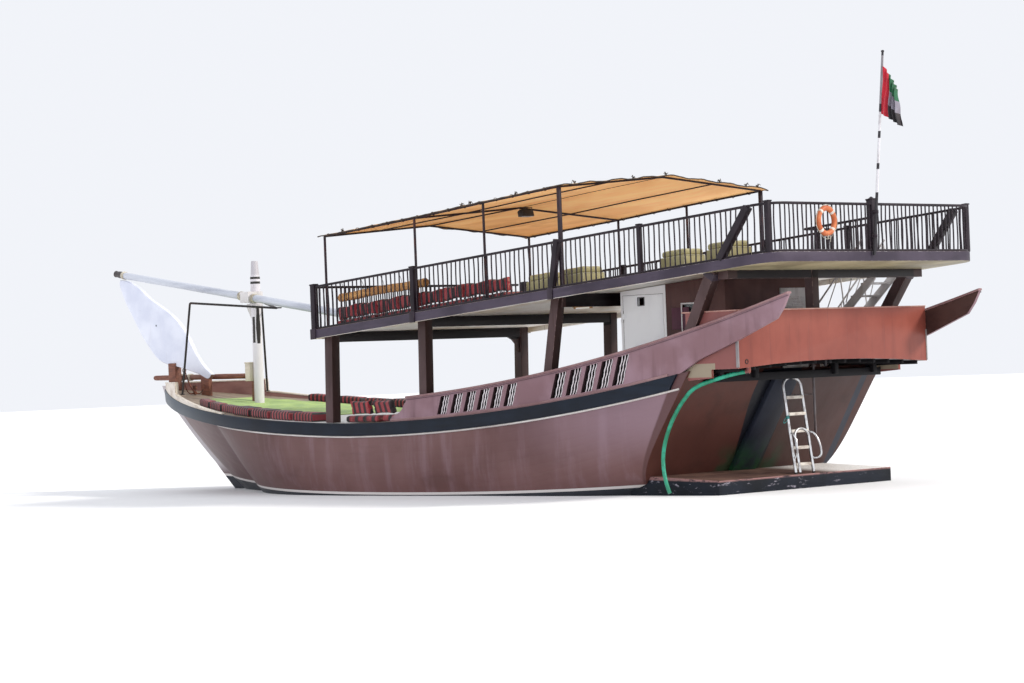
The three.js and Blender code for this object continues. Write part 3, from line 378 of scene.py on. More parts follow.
def band_low(x):
    return max(sheer_height(x) - 0.28, 0.7 * bottom_height(x) + 0.3 * sheer_height(x))


def half_breadth(x, z):
    up = part_way(z, bottom_height(x), sheer_height(x))
    bow = part_way(x, 1.0, 6.0)
    stern = part_way(-x, 3.0, 7.5)
    fullness = 4 - 3 * bow + 4 * stern
    flare = 0.5 + 0.35 * bow - 0.1 * stern
    return sheer_half(x) * (1 - (1 - up) ** fullness) ** flare


def move_points(piece, spots):
    """Puts the points of a piece's mesh at the places given."""
    piece.data.vertices.foreach_set("co", np.asarray(spots, float).ravel())
    piece.data.update()
    return piece


def skin(name, rows, closed=True):
    """A grid sprung over rows of points; a closed one gets its ends filled and faces out."""
    rows = np.array(rows, dtype=float)
    bpy.ops.object.select_all(action="DESELECT")
    bpy.ops.mesh.primitive_grid_add(x_subdivisions=rows.shape[1] - 1, y_subdivisions=rows.shape[0] - 1,
                                    size=1)
    piece = bpy.context.object
    piece.name = name
    move_points(piece, rows)
    bpy.ops.object.mode_set(mode="EDIT")
    bpy.ops.mesh.select_all(action="SELECT")
    bpy.ops.mesh.remove_doubles(threshold=2e-5)
    if closed:
        bpy.ops.mesh.fill_holes(sides=0)
        bpy.ops.mesh.select_all(action="SELECT")
        bpy.ops.mesh.normals_make_consistent(inside=False)
    bpy.ops.object.mode_set(mode="OBJECT")
    return piece


def swept(name, sections):
    """A solid through sections of equal point counts, each a ring of points."""
    return skin(name, [list(section) + [section[0]] for section in sections])


def use_modifier(piece, kind, **settings):
    """Adds a modifier with its settings and applies it."""
    alone(piece)
    modifier = piece.modifiers.new(kind.lower(), kind)
    for key, value in settings.items():
        setattr(modifier, key, value)
    bpy.ops.object.modifier_apply(modifier=modifier.name)
    return piece


def ease(piece, width, steps=2, angle=32):
    """Takes the edge off every corner sharper than the angle."""
    return use_modifier(piece, "BEVEL", width=width, segments=steps, limit_method="ANGLE",
                        angle_limit=radians(angle))


def block(name, low, high, round_off=0.006, steps=2):
    """A squared piece between two corners, with its edges taken off."""
    low, high = Vector(low), Vector(high)
    bpy.ops.object.select_all(action="DESELECT")
    bpy.ops.mesh.primitive_cube_add(size=1, location=(low + high) / 2)
    piece = bpy.context.object
    piece.name = name
    piece.scale = high - low
    bpy.ops.object.transform_apply(location=True, rotation=True, scale=True)
    return ease(piece, round_off, steps) if round_off else piece


def cut_out(piece, cutters):
    """Cuts each of the shapes out of a piece and throws the cutters away."""
    for cutter in cutters:
        use_modifier(piece, "BOOLEAN", operation="DIFFERENCE", object=cutter, solver="EXACT")
        bpy.data.objects.remove(cutter, do_unlink=True)
    return piece


def merged(name, pieces):
    """Several shapes fastened into one piece."""
    bpy.ops.object.select_all(action="DESELECT")
    for piece in pieces:
        piece.select_set(True)
    bpy.context.view_layer.objects.active = pieces[0]
    if len(pieces) > 1:
        bpy.ops.object.join()
    piece = bpy.context.object
    piece.name = name
    return piece


STRAKES = 15
SEAM = 0.0008
hull_stations = np.concatenate([np.linspace(-9.3, 5, 110), np.linspace(5.15, 10.52, 50)])
strake_edges = []
for strake in range(STRAKES):
    low = strake / STRAKES
    strake_edges += [(low, 0.0), (low + 0.04 / STRAKES, SEAM if strake else 0.0), (low + 0.08 / STRAKES, 0.0),
                     (low + 0.5 / STRAKES, 0.0)]
strake_edges.append((1.0, 0.0))


def hull_section(x):
    side = []
    for f, dip in strake_edges:
        z = bottom_height(x) + f ** 1.15 * (band_low(x) - bottom_height(x))
        side.append((x, max(0.0, half_breadth(x, z) - dip), z))
    half, top = sheer_half(x), sheer_height(x)
    inner = max(0.0, half - 0.05)
    side += [(x, half, top), (x, inner, top), (x, inner, top - 0.02), (x, 0.0, top - 0.02)]
    return side


port_side = [hull_section(x) for x in hull_stations]
ring_rows = list(zip(*[side + [(x, -y, z) for x, y, z in reversed(side[1:-1])] + side[:1]
                       for side in port_side]))
hull = skin("hull_planking", ring_rows)
transom_normal = Vector((TRANSOM_LOW[1] - TRANSOM_TOP[1], 0, TRANSOM_TOP[0] - TRANSOM_LOW[0])).normalized()


def cut_off_aft(piece, forward=0.0):
    """Cuts a piece off along the transom, or along a line that far forward of it."""
    alone(piece)
    bpy.ops.object.mode_set(mode="EDIT")
    bpy.ops.mesh.select_all(action="SELECT")
    bpy.ops.mesh.bisect(plane_co=(TRANSOM_LOW[0] + forward, 0, TRANSOM_LOW[1]), plane_no=transom_normal,
                        use_fill=True, clear_outer=True)
    bpy.ops.object.mode_set(mode="OBJECT")
    return outward(piece)


cut_off_aft(hull)
POCKET = ((-4.65, -0.6, -0.7), (-2.95, 0.6, 3.0))
cut_out(hull, [block("pocket", *POCKET, round_off=0)])

hull_paint = Finish("hull_paint", 0.42, Specular_IOR_Level=0.35)
broad = hull_paint.noise(0.45, detail=4)
runs = hull_paint.noise(1.6, (1.6, 1.6, 0.22), 6, 0.6)
patches = hull_paint.noise(0.9, (0.5, 1, 1.6), 5, 0.62)
speckle = hull_paint.noise(26, detail=3)
aft_face = hull_paint.facing("X") * -1
stem_line = 4.5 + 6.16 * ((hull_paint.z + 1.3) / 3.8).math("POWER", (hull_paint.z + 1.3) / 3.8, 0.583)
# painted reflection: a pale band of sky reflected on the planking just behind the stem
stem_sky_reflection = 1 - (stem_line - hull_paint.x + patches * 0.25).eased(0.1, 0.95)
# painted reflection: the sky's sheen, lighter and bluer, on the upper side towards the stern
stern_sky_sheen = (hull_paint.x * -1 - 3.0).eased(0.0, 5.0) * (hull_paint.z - 0.4).eased(0.0, 1.2)
brown_end = (hull_paint.z * -0.536 - 7.585 - hull_paint.x + patches * 0.05).eased(-0.02, 0.04)
side_colour = hull_paint.coats(
    (broad.eased(0.32, 0.68), 0x5C3B39, 0x70504F),
    (runs.eased(0.46, 0.72) * 0.6, 0x83686F),
    (patches.eased(0.52, 0.75) * 0.5, 0x4C302D),
    # painted shade: the fore part of the side is darkened
    ((hull_paint.x - 1.0).eased(0.0, 4.0) * 0.4, 0x44302E),
    (stem_sky_reflection * (hull_paint.z - 0.25).eased(0.0, 0.4), 0xB9B2B5),
    (stern_sky_sheen * 0.55, 0x8E7684),
    ((hull_paint.z * -1 + 0.9).eased(0.0, 0.9) * 0.3, 0x5E3A38),
    (brown_end * 0.85, 0x4E2E2C))
height_up = (hull_paint.z - 0.3).eased(0.0, 1.9)
wide_band = (hull_paint.y < 0.36 + height_up * 0.42) * (hull_paint.y > -0.62 + height_up * 0.14)
weed_reach = (1.05 - hull_paint.z).eased(0.0, 0.5) * (hull_paint.y + 1.3).eased(0.0, 0.4)
weed = weed_reach * (1.15 - hull_paint.y).eased(0.0, 0.4) * hull_paint.noise(1.1, detail=5).eased(0.38, 0.52)
strip = (hull_paint.y + 2.76 + (2.1 - hull_paint.z) * 0.09).between(-0.1, 0.1)
transom_colour = hull_paint.coats(
    (broad.eased(0.3, 0.7), 0x4A2A24, 0x5C352D),
    (patches.eased(0.5, 0.7) * 0.5, 0x38241F),
    # painted shade: the starboard half of the transom is darkened
    ((hull_paint.y < -0.5) * 0.6, 0x2E1A17),
    (wide_band, hull_paint.mix(runs.eased(0.4, 0.7), 0x12151E, 0x1E2028)),
    (weed * 0.75, 0x24452C),
    (strip, 0x262A36))
above_stripe = hull_paint.z - 0.02 - (hull_paint.x + 1) * (hull_paint.x + 1) * 0.0033
shell_colour = hull_paint.coats(
    (aft_face.eased(0.55, 0.8), side_colour, transom_colour),
    ((above_stripe < 0.055) * (1 - aft_face.eased(0.4, 0.5)), 0xCFC9C6),
    (above_stripe < 0.0, 0x23262E))
hull_paint.feed(shell_colour, 0.34 + runs * 0.28, speckle * 0.25 + runs * 0.75, 0.004)
finished(hull, "hull_brown", hull_paint, ["hull"])


# Keel, deadwood and stem: one hardwood backbone that the planks are rabbeted into, painted with the
# hull, with the bearings of the rudder and the shaft in it. The stem's face is cut back to the curve
# of the planks.
def dressed(node, name, edge=0.008, steps=2):
    """A copy of a frame solid with its doubles merged, its flats whole and its corners eased."""
    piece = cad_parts[node].copy()
    piece.data = piece.data.copy()
    bpy.context.collection.objects.link(piece)
    for key in [key for key in piece.keys() if key.startswith("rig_")]:
        del piece[key]
    piece.parent = None
    piece.matrix_world = Matrix.Identity(4)
    piece.name = name
    piece.data.materials.clear()
    outward(piece)
    use_modifier(piece, "DECIMATE", decimate_type="DISSOLVE", angle_limit=radians(1))
    return ease(piece, edge, steps) if edge else piece


def stem_face(x):
    """How far the stem's face stands proud of the planks, below and forward of them."""
    return 0.152 - 0.117 * part_way(x, 7.7, 8.7)


backbone = dressed("keel_and_stem", "backbone", 0)
face_line = [(x + stem_face(x), bottom_height(x) - 0.62 * stem_face(x)) for x in np.linspace(7.2, 10.55, 30)]
face_line += [(10.69, 2.6), (12.0, 2.6), (12.0, -1.0), (7.4, -1.0)]
waste = swept("waste", [[(x, y, z) for x, z in face_line] for y in (-0.2, 0.2)])
ease(cut_out(backbone, [waste]), 0.014, 3)
finished(backbone, "hull_brown", hull_paint, ["keel_and_stem"])


# Main deck: straight hardwood planks with caulked seams, a green carpet laid before the mast and
# a white-painted walk by the front posts. It covers the whole hull, round the engine's hatch.
PLANK = 0.14
deck_rows = []
row = -23 * PLANK
while row < 23.5 * PLANK:
    deck_rows += [(row - 0.004, 0.0), (row, -0.006), (row + 0.004, 0.0)]
    row += PLANK
deck_stations = np.concatenate([np.linspace(-9.02, 5, 60), np.linspace(5.2, 10.45, 50)])
deck_grid = [[(x, min(max(y, -sheer_half(x) + 0.03), sheer_half(x) - 0.03), sheer_height(x) + dip + 0.002)
              for x in deck_stations] for y, dip in deck_rows]
deck = skin("main_deck", deck_grid, closed=False)
bpy.ops.object.mode_set(mode="EDIT")
bpy.ops.mesh.select_all(action="SELECT")
bpy.ops.mesh.dissolve_degenerate(threshold=0.0005)
bpy.ops.mesh.select_all(action="SELECT")
bpy.ops.mesh.normals_make_consistent(inside=False)
bpy.ops.mesh.extrude_region_move(TRANSFORM_OT_translate={"value": (0, 0, -0.018)})
bpy.ops.object.mode_set(mode="OBJECT")
outward(deck)
cut_out(deck, [block("pocket", *POCKET, round_off=0)])
deck_wood = Finish("main_deck_planks", 0.6)
board = deck_wood.noise(1.0, (0.0, 1 / PLANK, 0), 0)
grain = deck_wood.noise(3, (1.5, 30, 8), 6)
walk = deck_wood.x.between(0.55, 3.6) * (deck_wood.noise(3, detail=5) + 0.6).eased(0.2, 0.4)
deck_colour = deck_wood.coats(
    (board.eased(0.3, 0.7), 0x7C6C5C, 0x9A8A78),
    (grain.eased(0.4, 0.7) * 0.5, 0x5A4A3E),
    (walk, 0xDAD9D6))
deck_wood.feed(deck_colour, 0.5 + grain * 0.3, grain, 0.002)
finished(deck, "hull_brown", deck_wood, ["hull"], smooth=25)

CARPET_INSET = 0.78
CARPET_ENDS = (3.6, 8.3)


def carpet_point(x, part):
    lie = 0.012 + 0.006 * sin(9 * x + 3 * part)
    return x, part * (sheer_half(x) - CARPET_INSET), sheer_height(x) + lie


carpet_rows = [[carpet_point(x, part) for part in np.linspace(-1, 1, 25)]
               for x in np.linspace(*CARPET_ENDS, 36)]
carpet_area = 2 * sum(sheer_half(x) - CARPET_INSET for x in np.linspace(3.65, 8.25, 47)) * 0.1
carpet = skin("foredeck_carpet", carpet_rows, closed=False)
use_modifier(carpet, "SOLIDIFY", thickness=0.012, offset=1.0)
turf = Finish("green_turf", 0.95, Sheen_Weight=0.3)
tufts = turf.noise(160, detail=2)
turf.feed(turf.mix(turf.noise(2.5, detail=4).eased(0.35, 0.65), 0x77993A, 0x97B54A), 0.92 + tufts * 0.05,
          tufts, 0.004)
finished(carpet, "hull_brown", turf, ["hull"])


# Rubbing bands: heavy timbers bolted along the sheer on both sides and painted dark blue, with a
# white half-round moulding nailed under each.
def mirrored(name, piece):
    """The same piece for the starboard side, with its own mesh."""
    alone(piece)
    bpy.ops.object.duplicate(linked=False)
    twin = bpy.context.object
    twin.name = name
    twin.scale.y = -1
    bpy.ops.object.transform_apply(location=False, rotation=False, scale=True)
    return outward(twin, 1e-6)


def both_sides(name, piece, stands_for=(), **details):
    """Finishes a port piece and its mirror image to starboard."""
    twin = mirrored(name + "_starboard", piece)
    piece.name = name + "_port"
    for side, half in (("port", piece), ("starboard", twin)):
        finished(half, stands_for=[f"{node}_{side}" for node in stands_for], **details)


def painted_wood(name, paint, faded, dirt, worn, roughness=0.42, along="z", wear=1.0, scale=1.0):
    """Oil paint brushed on timber: faded in patches, streaked by the rain, rubbed off at its edges."""
    coat = Finish(name, roughness, Specular_IOR_Level=0.2)
    fade = coat.noise(0.8 * scale, detail=4)
    stretch = tuple(0.16 if axis == along else 1.4 for axis in "xyz")
    streaks = coat.noise(3.2 * scale, stretch, 5)
    chips = coat.noise(16 * scale, detail=5, rough=0.65)
    rubbed = coat.edges(0.014) * chips.eased(0.44, 0.6) * wear
    colour = coat.coats(
        (fade.eased(0.34, 0.66), paint, faded),
        (streaks.eased(0.5, 0.74) * 0.55, dirt),
        (rubbed, worn))
    brush = coat.noise(22 * scale, stretch, 4)
    coat.colour = colour
    coat.feed(colour, roughness - 0.1 + fade * 0.2 + rubbed * 0.3, brush * 0.6 + chips * 0.3 - rubbed * 0.4,
              0.002)
    return coat


def band_section(x):
    low, top, half = band_low(x), sheer_height(x), sheer_half(x)
    outer = half + 0.055
    inner = min(half_breadth(x, low) - 0.01, half - 0.02)
    return [(x, inner, low), (x, outer - 0.016, low), (x, outer - 0.004, low + 0.006), (x, outer, low + 0.02),
            (x, outer, top - 0.024), (x, outer - 0.006, top - 0.007), (x, outer - 0.02, top),
            (x, half - 0.03, top)]


band_stations = np.concatenate([np.linspace(-9.3, 6, 100), np.linspace(6.1, 10.5, 50)])
band = cut_off_aft(swept("navy_band", [band_section(x) for x in band_stations]), 0.25)
navy_paint = painted_wood("navy_paint", 0x0B121E, 0x141E2C, 0x080C14, 0x5A565C, 0.4, along="x", wear=0.7)
navy_paint.feed(navy_paint.mix((navy_paint.x - 4.5).eased(0.0, 4.5) * 0.6, navy_paint.colour, 0x465460))
both_sides("navy_band", band, ["rubbing_band"], slot="navy_paint", finish=navy_paint)

MOULDING = 0.042


def moulding_section(x):
    centre = band_low(x) - 0.5 * MOULDING
    face = half_breadth(x, centre) + 0.012
    turn = np.linspace(-0.5 * pi, 0.5 * pi, 7)
    ring = [(x, face + 0.03 * cos(a), centre + 0.5 * MOULDING * sin(a)) for a in turn]
    return [(x, face - 0.03, centre - 0.5 * MOULDING)] + ring + [(x, face - 0.03, centre + 0.5 * MOULDING)]


moulding = swept("white_moulding", [moulding_section(x) for x in np.linspace(-9.0, 10.2, 150)])
moulding_paint = painted_wood("moulding_paint", 0xDCD8D4, 0xC8C2BE, 0x9A8C88, 0x7A5A54, 0.5, along="x",
                              wear=0.6)
both_sides("white_moulding", moulding, slot="white_paint", finish=moulding_paint)


# Washboards: low planked walls that close in the bow, with a rounded cap rail; cream outside and
# on the cap, faded rose inside. They step up to the stemhead forward.
def wash_top(x):
    if x > 8.5:
        return 2.64
    return sheer_height(x) + 0.025 + 0.105 * part_way(x, 5.2, 8.3)


def wash_walls(x):
    outer = sheer_half(x) + 0.02
    return max(0.005, outer - 0.06 * (1 + 1.2 * part_way(x, 8.0, 10.5))), outer


def wash_section(x):
    inner, outer = wash_walls(x)
    foot, top = sheer_height(x), wash_top(x) - 0.02
    return [(x, inner, foot), (x, outer, foot), (x, outer, top), (x, inner, top)]


def cap_section(x):
    inner, outer = wash_walls(x)
    low, top = wash_top(x) - 0.03, wash_top(x) + 0.004
    inner = max(0.004, inner - 0.02)
    outer = outer + 0.015
    return [(x, inner, low), (x, outer - 0.006, low), (x, outer, low + 0.008), (x, outer, top - 0.01),
            (x, outer - 0.01, top), (x, inner + 0.01, top), (x, inner, top - 0.01)]


wash_stations = np.concatenate([np.linspace(5.2, 8.44, 24), np.linspace(8.46, 8.54, 6),
                                np.linspace(8.6, 10.5, 40)])
washboard = swept("bow_washboard", [wash_section(x) for x in wash_stations])
wash_cap = swept("washboard_cap", [cap_section(x) for x in wash_stations])
wash_paint = Finish("washboard_paint", 0.5)
inward = wash_paint.facing("Y") * ((wash_paint.y > 0) * 2 - 1) < -0.3
wash_grime = wash_paint.noise(1.5, (0.6, 1, 2), 5)
wash_cream = wash_paint.mix(wash_grime.eased(0.4, 0.7), 0xDCD2C6, 0xB8A898)
wash_rose = wash_paint.mix(wash_grime.eased(0.4, 0.7), 0x9A6E66, 0x7C544E)
wash_paint.feed(wash_paint.mix(inward, wash_cream, wash_rose), 0.42 + wash_grime * 0.2, wash_grime, 0.003)
both_sides("bow_washboard", washboard, ["washboard"], slot="cream_paint", finish=wash_paint)
cream_paint = painted_wood("cream_paint", 0xE2DACE, 0xCFC4B4, 0xA89A88, 0x7A5E4C, 0.45, along="x")
both_sides("washboard_cap", wash_cap, ["washboard"], slot="cream_paint", finish=cream_paint)


# Stem blade: one thick flat timber set on the stemhead, cut to the long curve of a dhow's bow and
# painted white; its after edge is rounded. It stands on a chock and is scarfed to the stemhead post.
def plate(name, outline, low, high, round_off=0.0, steps=2):
    """A board of the outline, given in X and Z, from one Y to the other."""
    bpy.ops.object.select_all(action="DESELECT")
    bpy.ops.mesh.primitive_circle_add(vertices=len(outline), radius=1, fill_type="NGON")
    piece = bpy.context.object
    piece.name = name
    move_points(piece, [(x, low, z) for x, z in outline])
    bpy.ops.object.mode_set(mode="EDIT")
    bpy.ops.mesh.select_all(action="SELECT")
    bpy.ops.mesh.extrude_region_move(TRANSFORM_OT_translate={"value": (0, high - low, 0)})
    bpy.ops.object.mode_set(mode="OBJECT")
    outward(piece)
    return ease(piece, round_off, steps, 40) if round_off else piece


BLADE_BELLY = [(8.83, 2.8), (8.96, 2.69), (9.33, 2.82), (10.09, 3.01), (10.5, 3.09),
               (10.85, 3.23), (11.41, 3.78), (11.78, 4.3), (12.11, 4.79), (12.27, 5.18),
               (12.25, 5.275)]
BLADE_BACK = [(12.25, 5.275), (12.0, 5.235), (11.53, 5.04), (11.15, 4.78), (10.58, 4.48),
              (10.1, 4.18), (9.77, 3.85), (9.45, 3.37), (9.13, 3.01), (8.83, 2.8)]
belly = through([(x, 0, z) for x, z in BLADE_BELLY], 5)[:, [0, 2]]
back = through([(x, 0, z) for x, z in BLADE_BACK], 5)[:, [0, 2]]
blade = plate("white_blade", list(belly[:-1]) + list(back[:-1]), -0.06, 0.06, 0.024, 4)
blade_paint = Finish("blade_paint", 0.42)
chalk = blade_paint.noise(1.1, detail=5)
drips = blade_paint.noise(4, (1.2, 1.2, 0.18), 5)
freckles = blade_paint.noise(9, detail=3)
# brown paint and painted shade: the downward faces along the blade's lower edge are darkened brown
shaded_underside = (blade_paint.facing("Z") * -1).eased(0.25, 0.7) * (10.9 - blade_paint.x).eased(0.0, 0.3)
blade_colour = blade_paint.coats(
    (chalk.eased(0.35, 0.65), 0xDDE0EC, 0xCBCFDF),
    (drips.eased(0.58, 0.78) * 0.25, 0xB4B2B8),
    (freckles.eased(0.74, 0.77) * 0.4, 0x6A5A58),
    (shaded_underside, 0x7A5A52))
blade_paint.feed(blade_colour, 0.36 + chalk * 0.2, chalk * 0.7 + drips * 0.3, 0.003)
finished(blade, "white_paint", blade_paint, ["stem_blade"], smooth=35)
dot = block("blade_bolt_head", (10.86, 0.058, 4.05), (10.9, 0.066, 4.09), 0.006)
finished(dot, "rusty_iron", navy_paint)


# Stemhead post, chock, log bowsprit and bitt: oiled teak. The log lies beside the stemhead in rope
# lashings, with its heel on the bitt.
def circle(axis, turns, count):
    """Points round the axis, a metre off it, that go round it that many times."""
    along = Vector(axis).normalized()
    across = along.orthogonal().normalized()
    over = np.array(along.cross(across))
    return [cos(a) * np.array(across) + sin(a) * over for a in np.linspace(0, 2 * pi * turns, count)]


def turned(name, foot, head, profile, sides=24):
    """A round piece between two points: the profile gives a part of its length and the radius there."""
    foot, head = np.array(foot, float), np.array(head, float)
    around = circle(head - foot, 1, sides + 1)[:-1]
    return swept(name, [[foot + part * (head - foot) + radius * point for point in around]
                        for part, radius in profile])


def lashing(name, centre, axis, radius, turns, thick=0.012):
    """Turns of rope laid close round a spar."""
    around = np.array(circle(axis, turns, turns * 18 + 1)) * (radius + thick)
    advance = np.linspace(-1.025, 1.025, len(around))[:, None] * np.array(Vector(axis).normalized())
    return tube(name, np.array(centre) + around + advance * turns * thick, thick, 8)


teak = Finish("oiled_teak", 0.6)
teak_grain = teak.noise(3, (1, 14, 14), 6, swirl=0.6)
teak_age = teak.noise(1.2, detail=4)
teak_colour = teak.coats(
    (teak_grain.eased(0.35, 0.65), 0x5E3428, 0x84523E),
    (teak_age.eased(0.5, 0.75) * 0.6, 0x8C7468))
teak.feed(teak_colour, 0.5 + teak_grain * 0.25, teak_grain, 0.003)
for node, edge in (("stemhead_post", 0.014), ("blade_chock", 0.01), ("bowsprit_bitt", 0.014)):
    finished(dressed(node, node + "_timber", edge), "oiled_teak", teak, [node])
LOG_HEEL, LOG_HEAD = (7.35, -0.25, 2.72), (11.38, -0.25, 2.76)
log_profile = [(0, 0.05), (0.004, 0.062)]
log_profile += [(t, 0.067 + 0.002 * sin(23 * t) - 0.004 * t) for t in np.linspace(0.012, 0.985, 24)]
log = turned("bow_log", LOG_HEEL, LOG_HEAD, log_profile + [(0.996, 0.058), (1, 0.048)], 18)
finished(log, "oiled_teak", teak, ["bowsprit_log"], smooth=50)
rope_white = Finish("white_rope", 0.9, Sheen_Weight=0.15)
lay = rope_white.noise(90, (1, 1, 1), 2)
rope_white.feed(rope_white.mix(rope_white.noise(6, detail=4).eased(0.4, 0.65), 0xC9C2B2, 0x9C9282), 0.85, lay,
                0.003)
log_ties = [lashing("tie", (x, LOG_HEEL[1], LOG_HEEL[2] + 0.01 * (x - LOG_HEEL[0])), (1, 0, 0.01), 0.068, 5)
            for x in (7.53, 10.0, 10.32)]
finished(merged("log_lashings", log_ties), "oiled_teak", rope_white, smooth=60)

# Grapnel: forged iron, galvanised long ago and now rusty. Its curved shank ends in a ring, and its
# four arms in flat palms; it lies on the foredeck against the washboard.
CROWN = Vector((9.05, 0.42, 2.36))
RING_EYE = Vector((9.47, 0.36, 2.89))
shank = through([CROWN, CROWN.lerp(RING_EYE, 0.35) + Vector((0.03, 0, -0.03)),
                 CROWN.lerp(RING_EYE, 0.75) + Vector((0.02, 0, -0.02)), RING_EYE], 6)
iron_parts = [tube("shank", shank, np.linspace(0.022, 0.015, len(shank)), 10)]
for quarter in range(4):
    turn = quarter * pi / 2 + pi / 4
    out = Vector((cos(turn), sin(turn), 0))
    arm = through([CROWN, CROWN + out * 0.11 + Vector((0, 0, -0.02)),
                   CROWN + out * 0.19 + Vector((0, 0, 0.06)), CROWN + out * 0.23 + Vector((0, 0, 0.2))], 5)
    iron_parts.append(tube("arm", arm, np.linspace(0.02, 0.008, len(arm)), 8))
    palm = block("palm", (-0.035, -0.006, -0.05), (0.035, 0.006, 0.05), 0.005)
    palm.rotation_euler = (0.25, 0, turn + pi / 2)
    palm.location = CROWN + out * 0.205 + Vector((0, 0, 0.13))
    iron_parts.append(palm)
bpy.ops.mesh.primitive_torus_add(major_radius=0.05, minor_radius=0.009,
                                 location=RING_EYE + Vector((0.03, 0, 0.03)), rotation=(pi / 2, 0, 0.3),
                                 major_segments=28, minor_segments=10)
iron_parts.append(bpy.context.object)
iron_parts.append(turned("crown", CROWN + Vector((0, 0, -0.05)), CROWN + Vector((0, 0, 0.05)),
                         [(0, 0.02), (0.1, 0.04), (0.8, 0.045), (1, 0.02)], 16))
anchor = merged("grapnel", iron_parts)
rust = Finish("rusty_iron", 0.85, Metallic=0.2)
flakes = rust.noise(28, detail=6)
rust_colour = rust.mix(rust.noise(7, detail=4).eased(0.35, 0.65), 0x3E2A26, 0x7A4430)
rust.feed(rust.mix(flakes.eased(0.6, 0.75), rust_colour, 0x9C8A80), 0.75 + flakes * 0.2, flakes, 0.003)
finished(anchor, "rusty_iron", rust, ["anchor"], smooth=50)


# Mast: a short pole stepped through the foredeck, painted white with black rings under its tapered
# cap and black marks down its front. A cheek under the boom's rest and a gear box are bolted to it.
MAST_X = 7.15
mast_profile = [(1.8, 0.118), (2.6, 0.121), (4.36, 0.12), (4.38, 0.148), (4.4, 0.159), (4.47, 0.159),
                (4.49, 0.15), (4.494, 0.12), (5.0, 0.119), (5.1, 0.12), (5.12, 0.112), (5.14, 0.106),
                (5.48, 0.082), (5.5, 0.074)]
low, high = mast_profile[0][0], mast_profile[-1][0]
mast = turned("mast_pole", (MAST_X, 0, low), (MAST_X, 0, high),
              [((z - low) / (high - low), radius) for z, radius in mast_profile], 32)
mast_paint = Finish("mast_paint", 0.45)
soot = mast_paint.noise(2.5, (1, 1, 0.3), 5)
across = (mast_paint.x - MAST_X) * -0.66 + mast_paint.y * -0.751
wobble = mast_paint.noise(5, detail=3) * 0.02
left_mark = (abs(across + 0.06 + wobble)).eased(0.024, 0.034)
swell = (abs(mast_paint.z - 3.88) * -0.05 + 0.052)
right_mark = (abs(across - 0.045 + wobble) - swell).eased(0.0, 0.01)
left_mark = (1 - left_mark) * mast_paint.z.between(3.52, 4.15)
right_mark = (1 - right_mark) * mast_paint.z.between(3.5, 4.38)
rings = mast_paint.z.between(4.945, 5.003) + mast_paint.z.between(5.06, 5.118)
marks = (left_mark + right_mark + rings) > 0.5
mast_colour = mast_paint.coats(
    (soot.eased(0.45, 0.75), 0xDAD6DC, 0xB0A8AA),
    ((mast_paint.z - 5.1).eased(0.0, 0.1) * 0.6, 0x9C989C),
    (marks, 0x23201F))
ribs = mast_paint.noise(30, (1, 1, 0.05), 2)
mast_paint.feed(mast_colour, 0.4 + soot * 0.2, soot * 0.5 + ribs * 0.5, 0.004)
finished(mast, "white_paint", mast_paint, ["mast"], smooth=35)
cheek = plate("mast_cheek", [(7.2, 4.12), (7.3, 4.12), (7.44, 4.37), (7.44, 4.47), (7.2, 4.47)], -0.05, 0.05,
              0.012)
white_paint = painted_wood("white_paint", 0xE4E1E0, 0xD0CCCC, 0xA49C9A, 0x8A7670, 0.45)
finished(cheek, "white_paint", white_paint)
gear_box = block("mast_gear_box", (7.25, 0.04, 2.6), (7.42, 0.2, 3.02), 0.012)
gear_lid = block("lid", (7.24, 0.03, 3.02), (7.43, 0.21, 3.06), 0.01)
finished(merged("mast_gear_box", [gear_box, gear_lid]), "cream_paint", cream_paint)

# Boom: a long tapered spar, scarfed of three lengths and painted pale grey, with a dark tip; it
# lies stowed fore and aft in a collar round the mast, wound with rope near its ends and its collar.
def boom_radius(t):
    return 0.0975 - 0.0125 * t


BOOM_HEEL = Vector((1.96, 0.48, 3.832))
BOOM_TIP = Vector((12.47, 0, 5.44))
boom_line = (BOOM_TIP - BOOM_HEEL).normalized()
boom_profile = [(0, 0.07), (0.001, 0.088), (0.004, 0.096)]
boom_profile += [(t, boom_radius(t) + 0.0006 * sin(40 * t)) for t in np.linspace(0.01, 0.985, 40)]
boom_profile += [(0.987, 0.078), (0.996, 0.078), (0.9985, 0.085), (1, 0.07)]
boom = turned("boom_spar", BOOM_HEEL, BOOM_TIP, boom_profile, 28)
spar_paint = Finish("spar_paint", 0.42)
spar_wear = spar_paint.noise(1.4, (0.25, 2, 2), 6)
spar_spots = spar_paint.noise(7, (0.6, 2, 2), 4)
spar_colour = spar_paint.coats(
    (spar_wear.eased(0.4, 0.7), 0xC4C8D2, 0xA4A8B4),
    (spar_spots.eased(0.66, 0.76) * 0.35, 0x8E8482),
    ((spar_paint.x - BOOM_TIP.x + 0.42).eased(0.0, 0.05), 0x3A3434))
spar_paint.feed(spar_colour, 0.36 + spar_wear * 0.25, spar_wear * 0.6 + spar_spots * 0.3, 0.003)
finished(boom, "white_paint", spar_paint, ["boom"], body="boom_assembly", smooth=45)
boom_ties = [lashing("tie", BOOM_HEEL.lerp(BOOM_TIP, t), boom_line, boom_radius(t), turns, 0.008)
             for t, turns in ((0.02, 5), (0.965, 6))]
finished(merged("boom_lashings", boom_ties), "white_paint", rope_white, body="boom_assembly", smooth=60)
collar = dressed("boom_collar", "boom_rest", 0.014, 3)
finished(collar, "cream_paint", white_paint, ["boom_collar"], body="boom_assembly")
at_mast = BOOM_HEEL.lerp(BOOM_TIP, (MAST_X - BOOM_HEEL.x) / (BOOM_TIP.x - BOOM_HEEL.x))
strops = merged("boom_strops", [lashing("tie", at_mast + boom_line * d, boom_line, 0.094, 6, 0.009)
                                for d in (-0.24, 0.24)])
finished(strops, "white_paint", rope_white, body="boom_assembly", smooth=60)

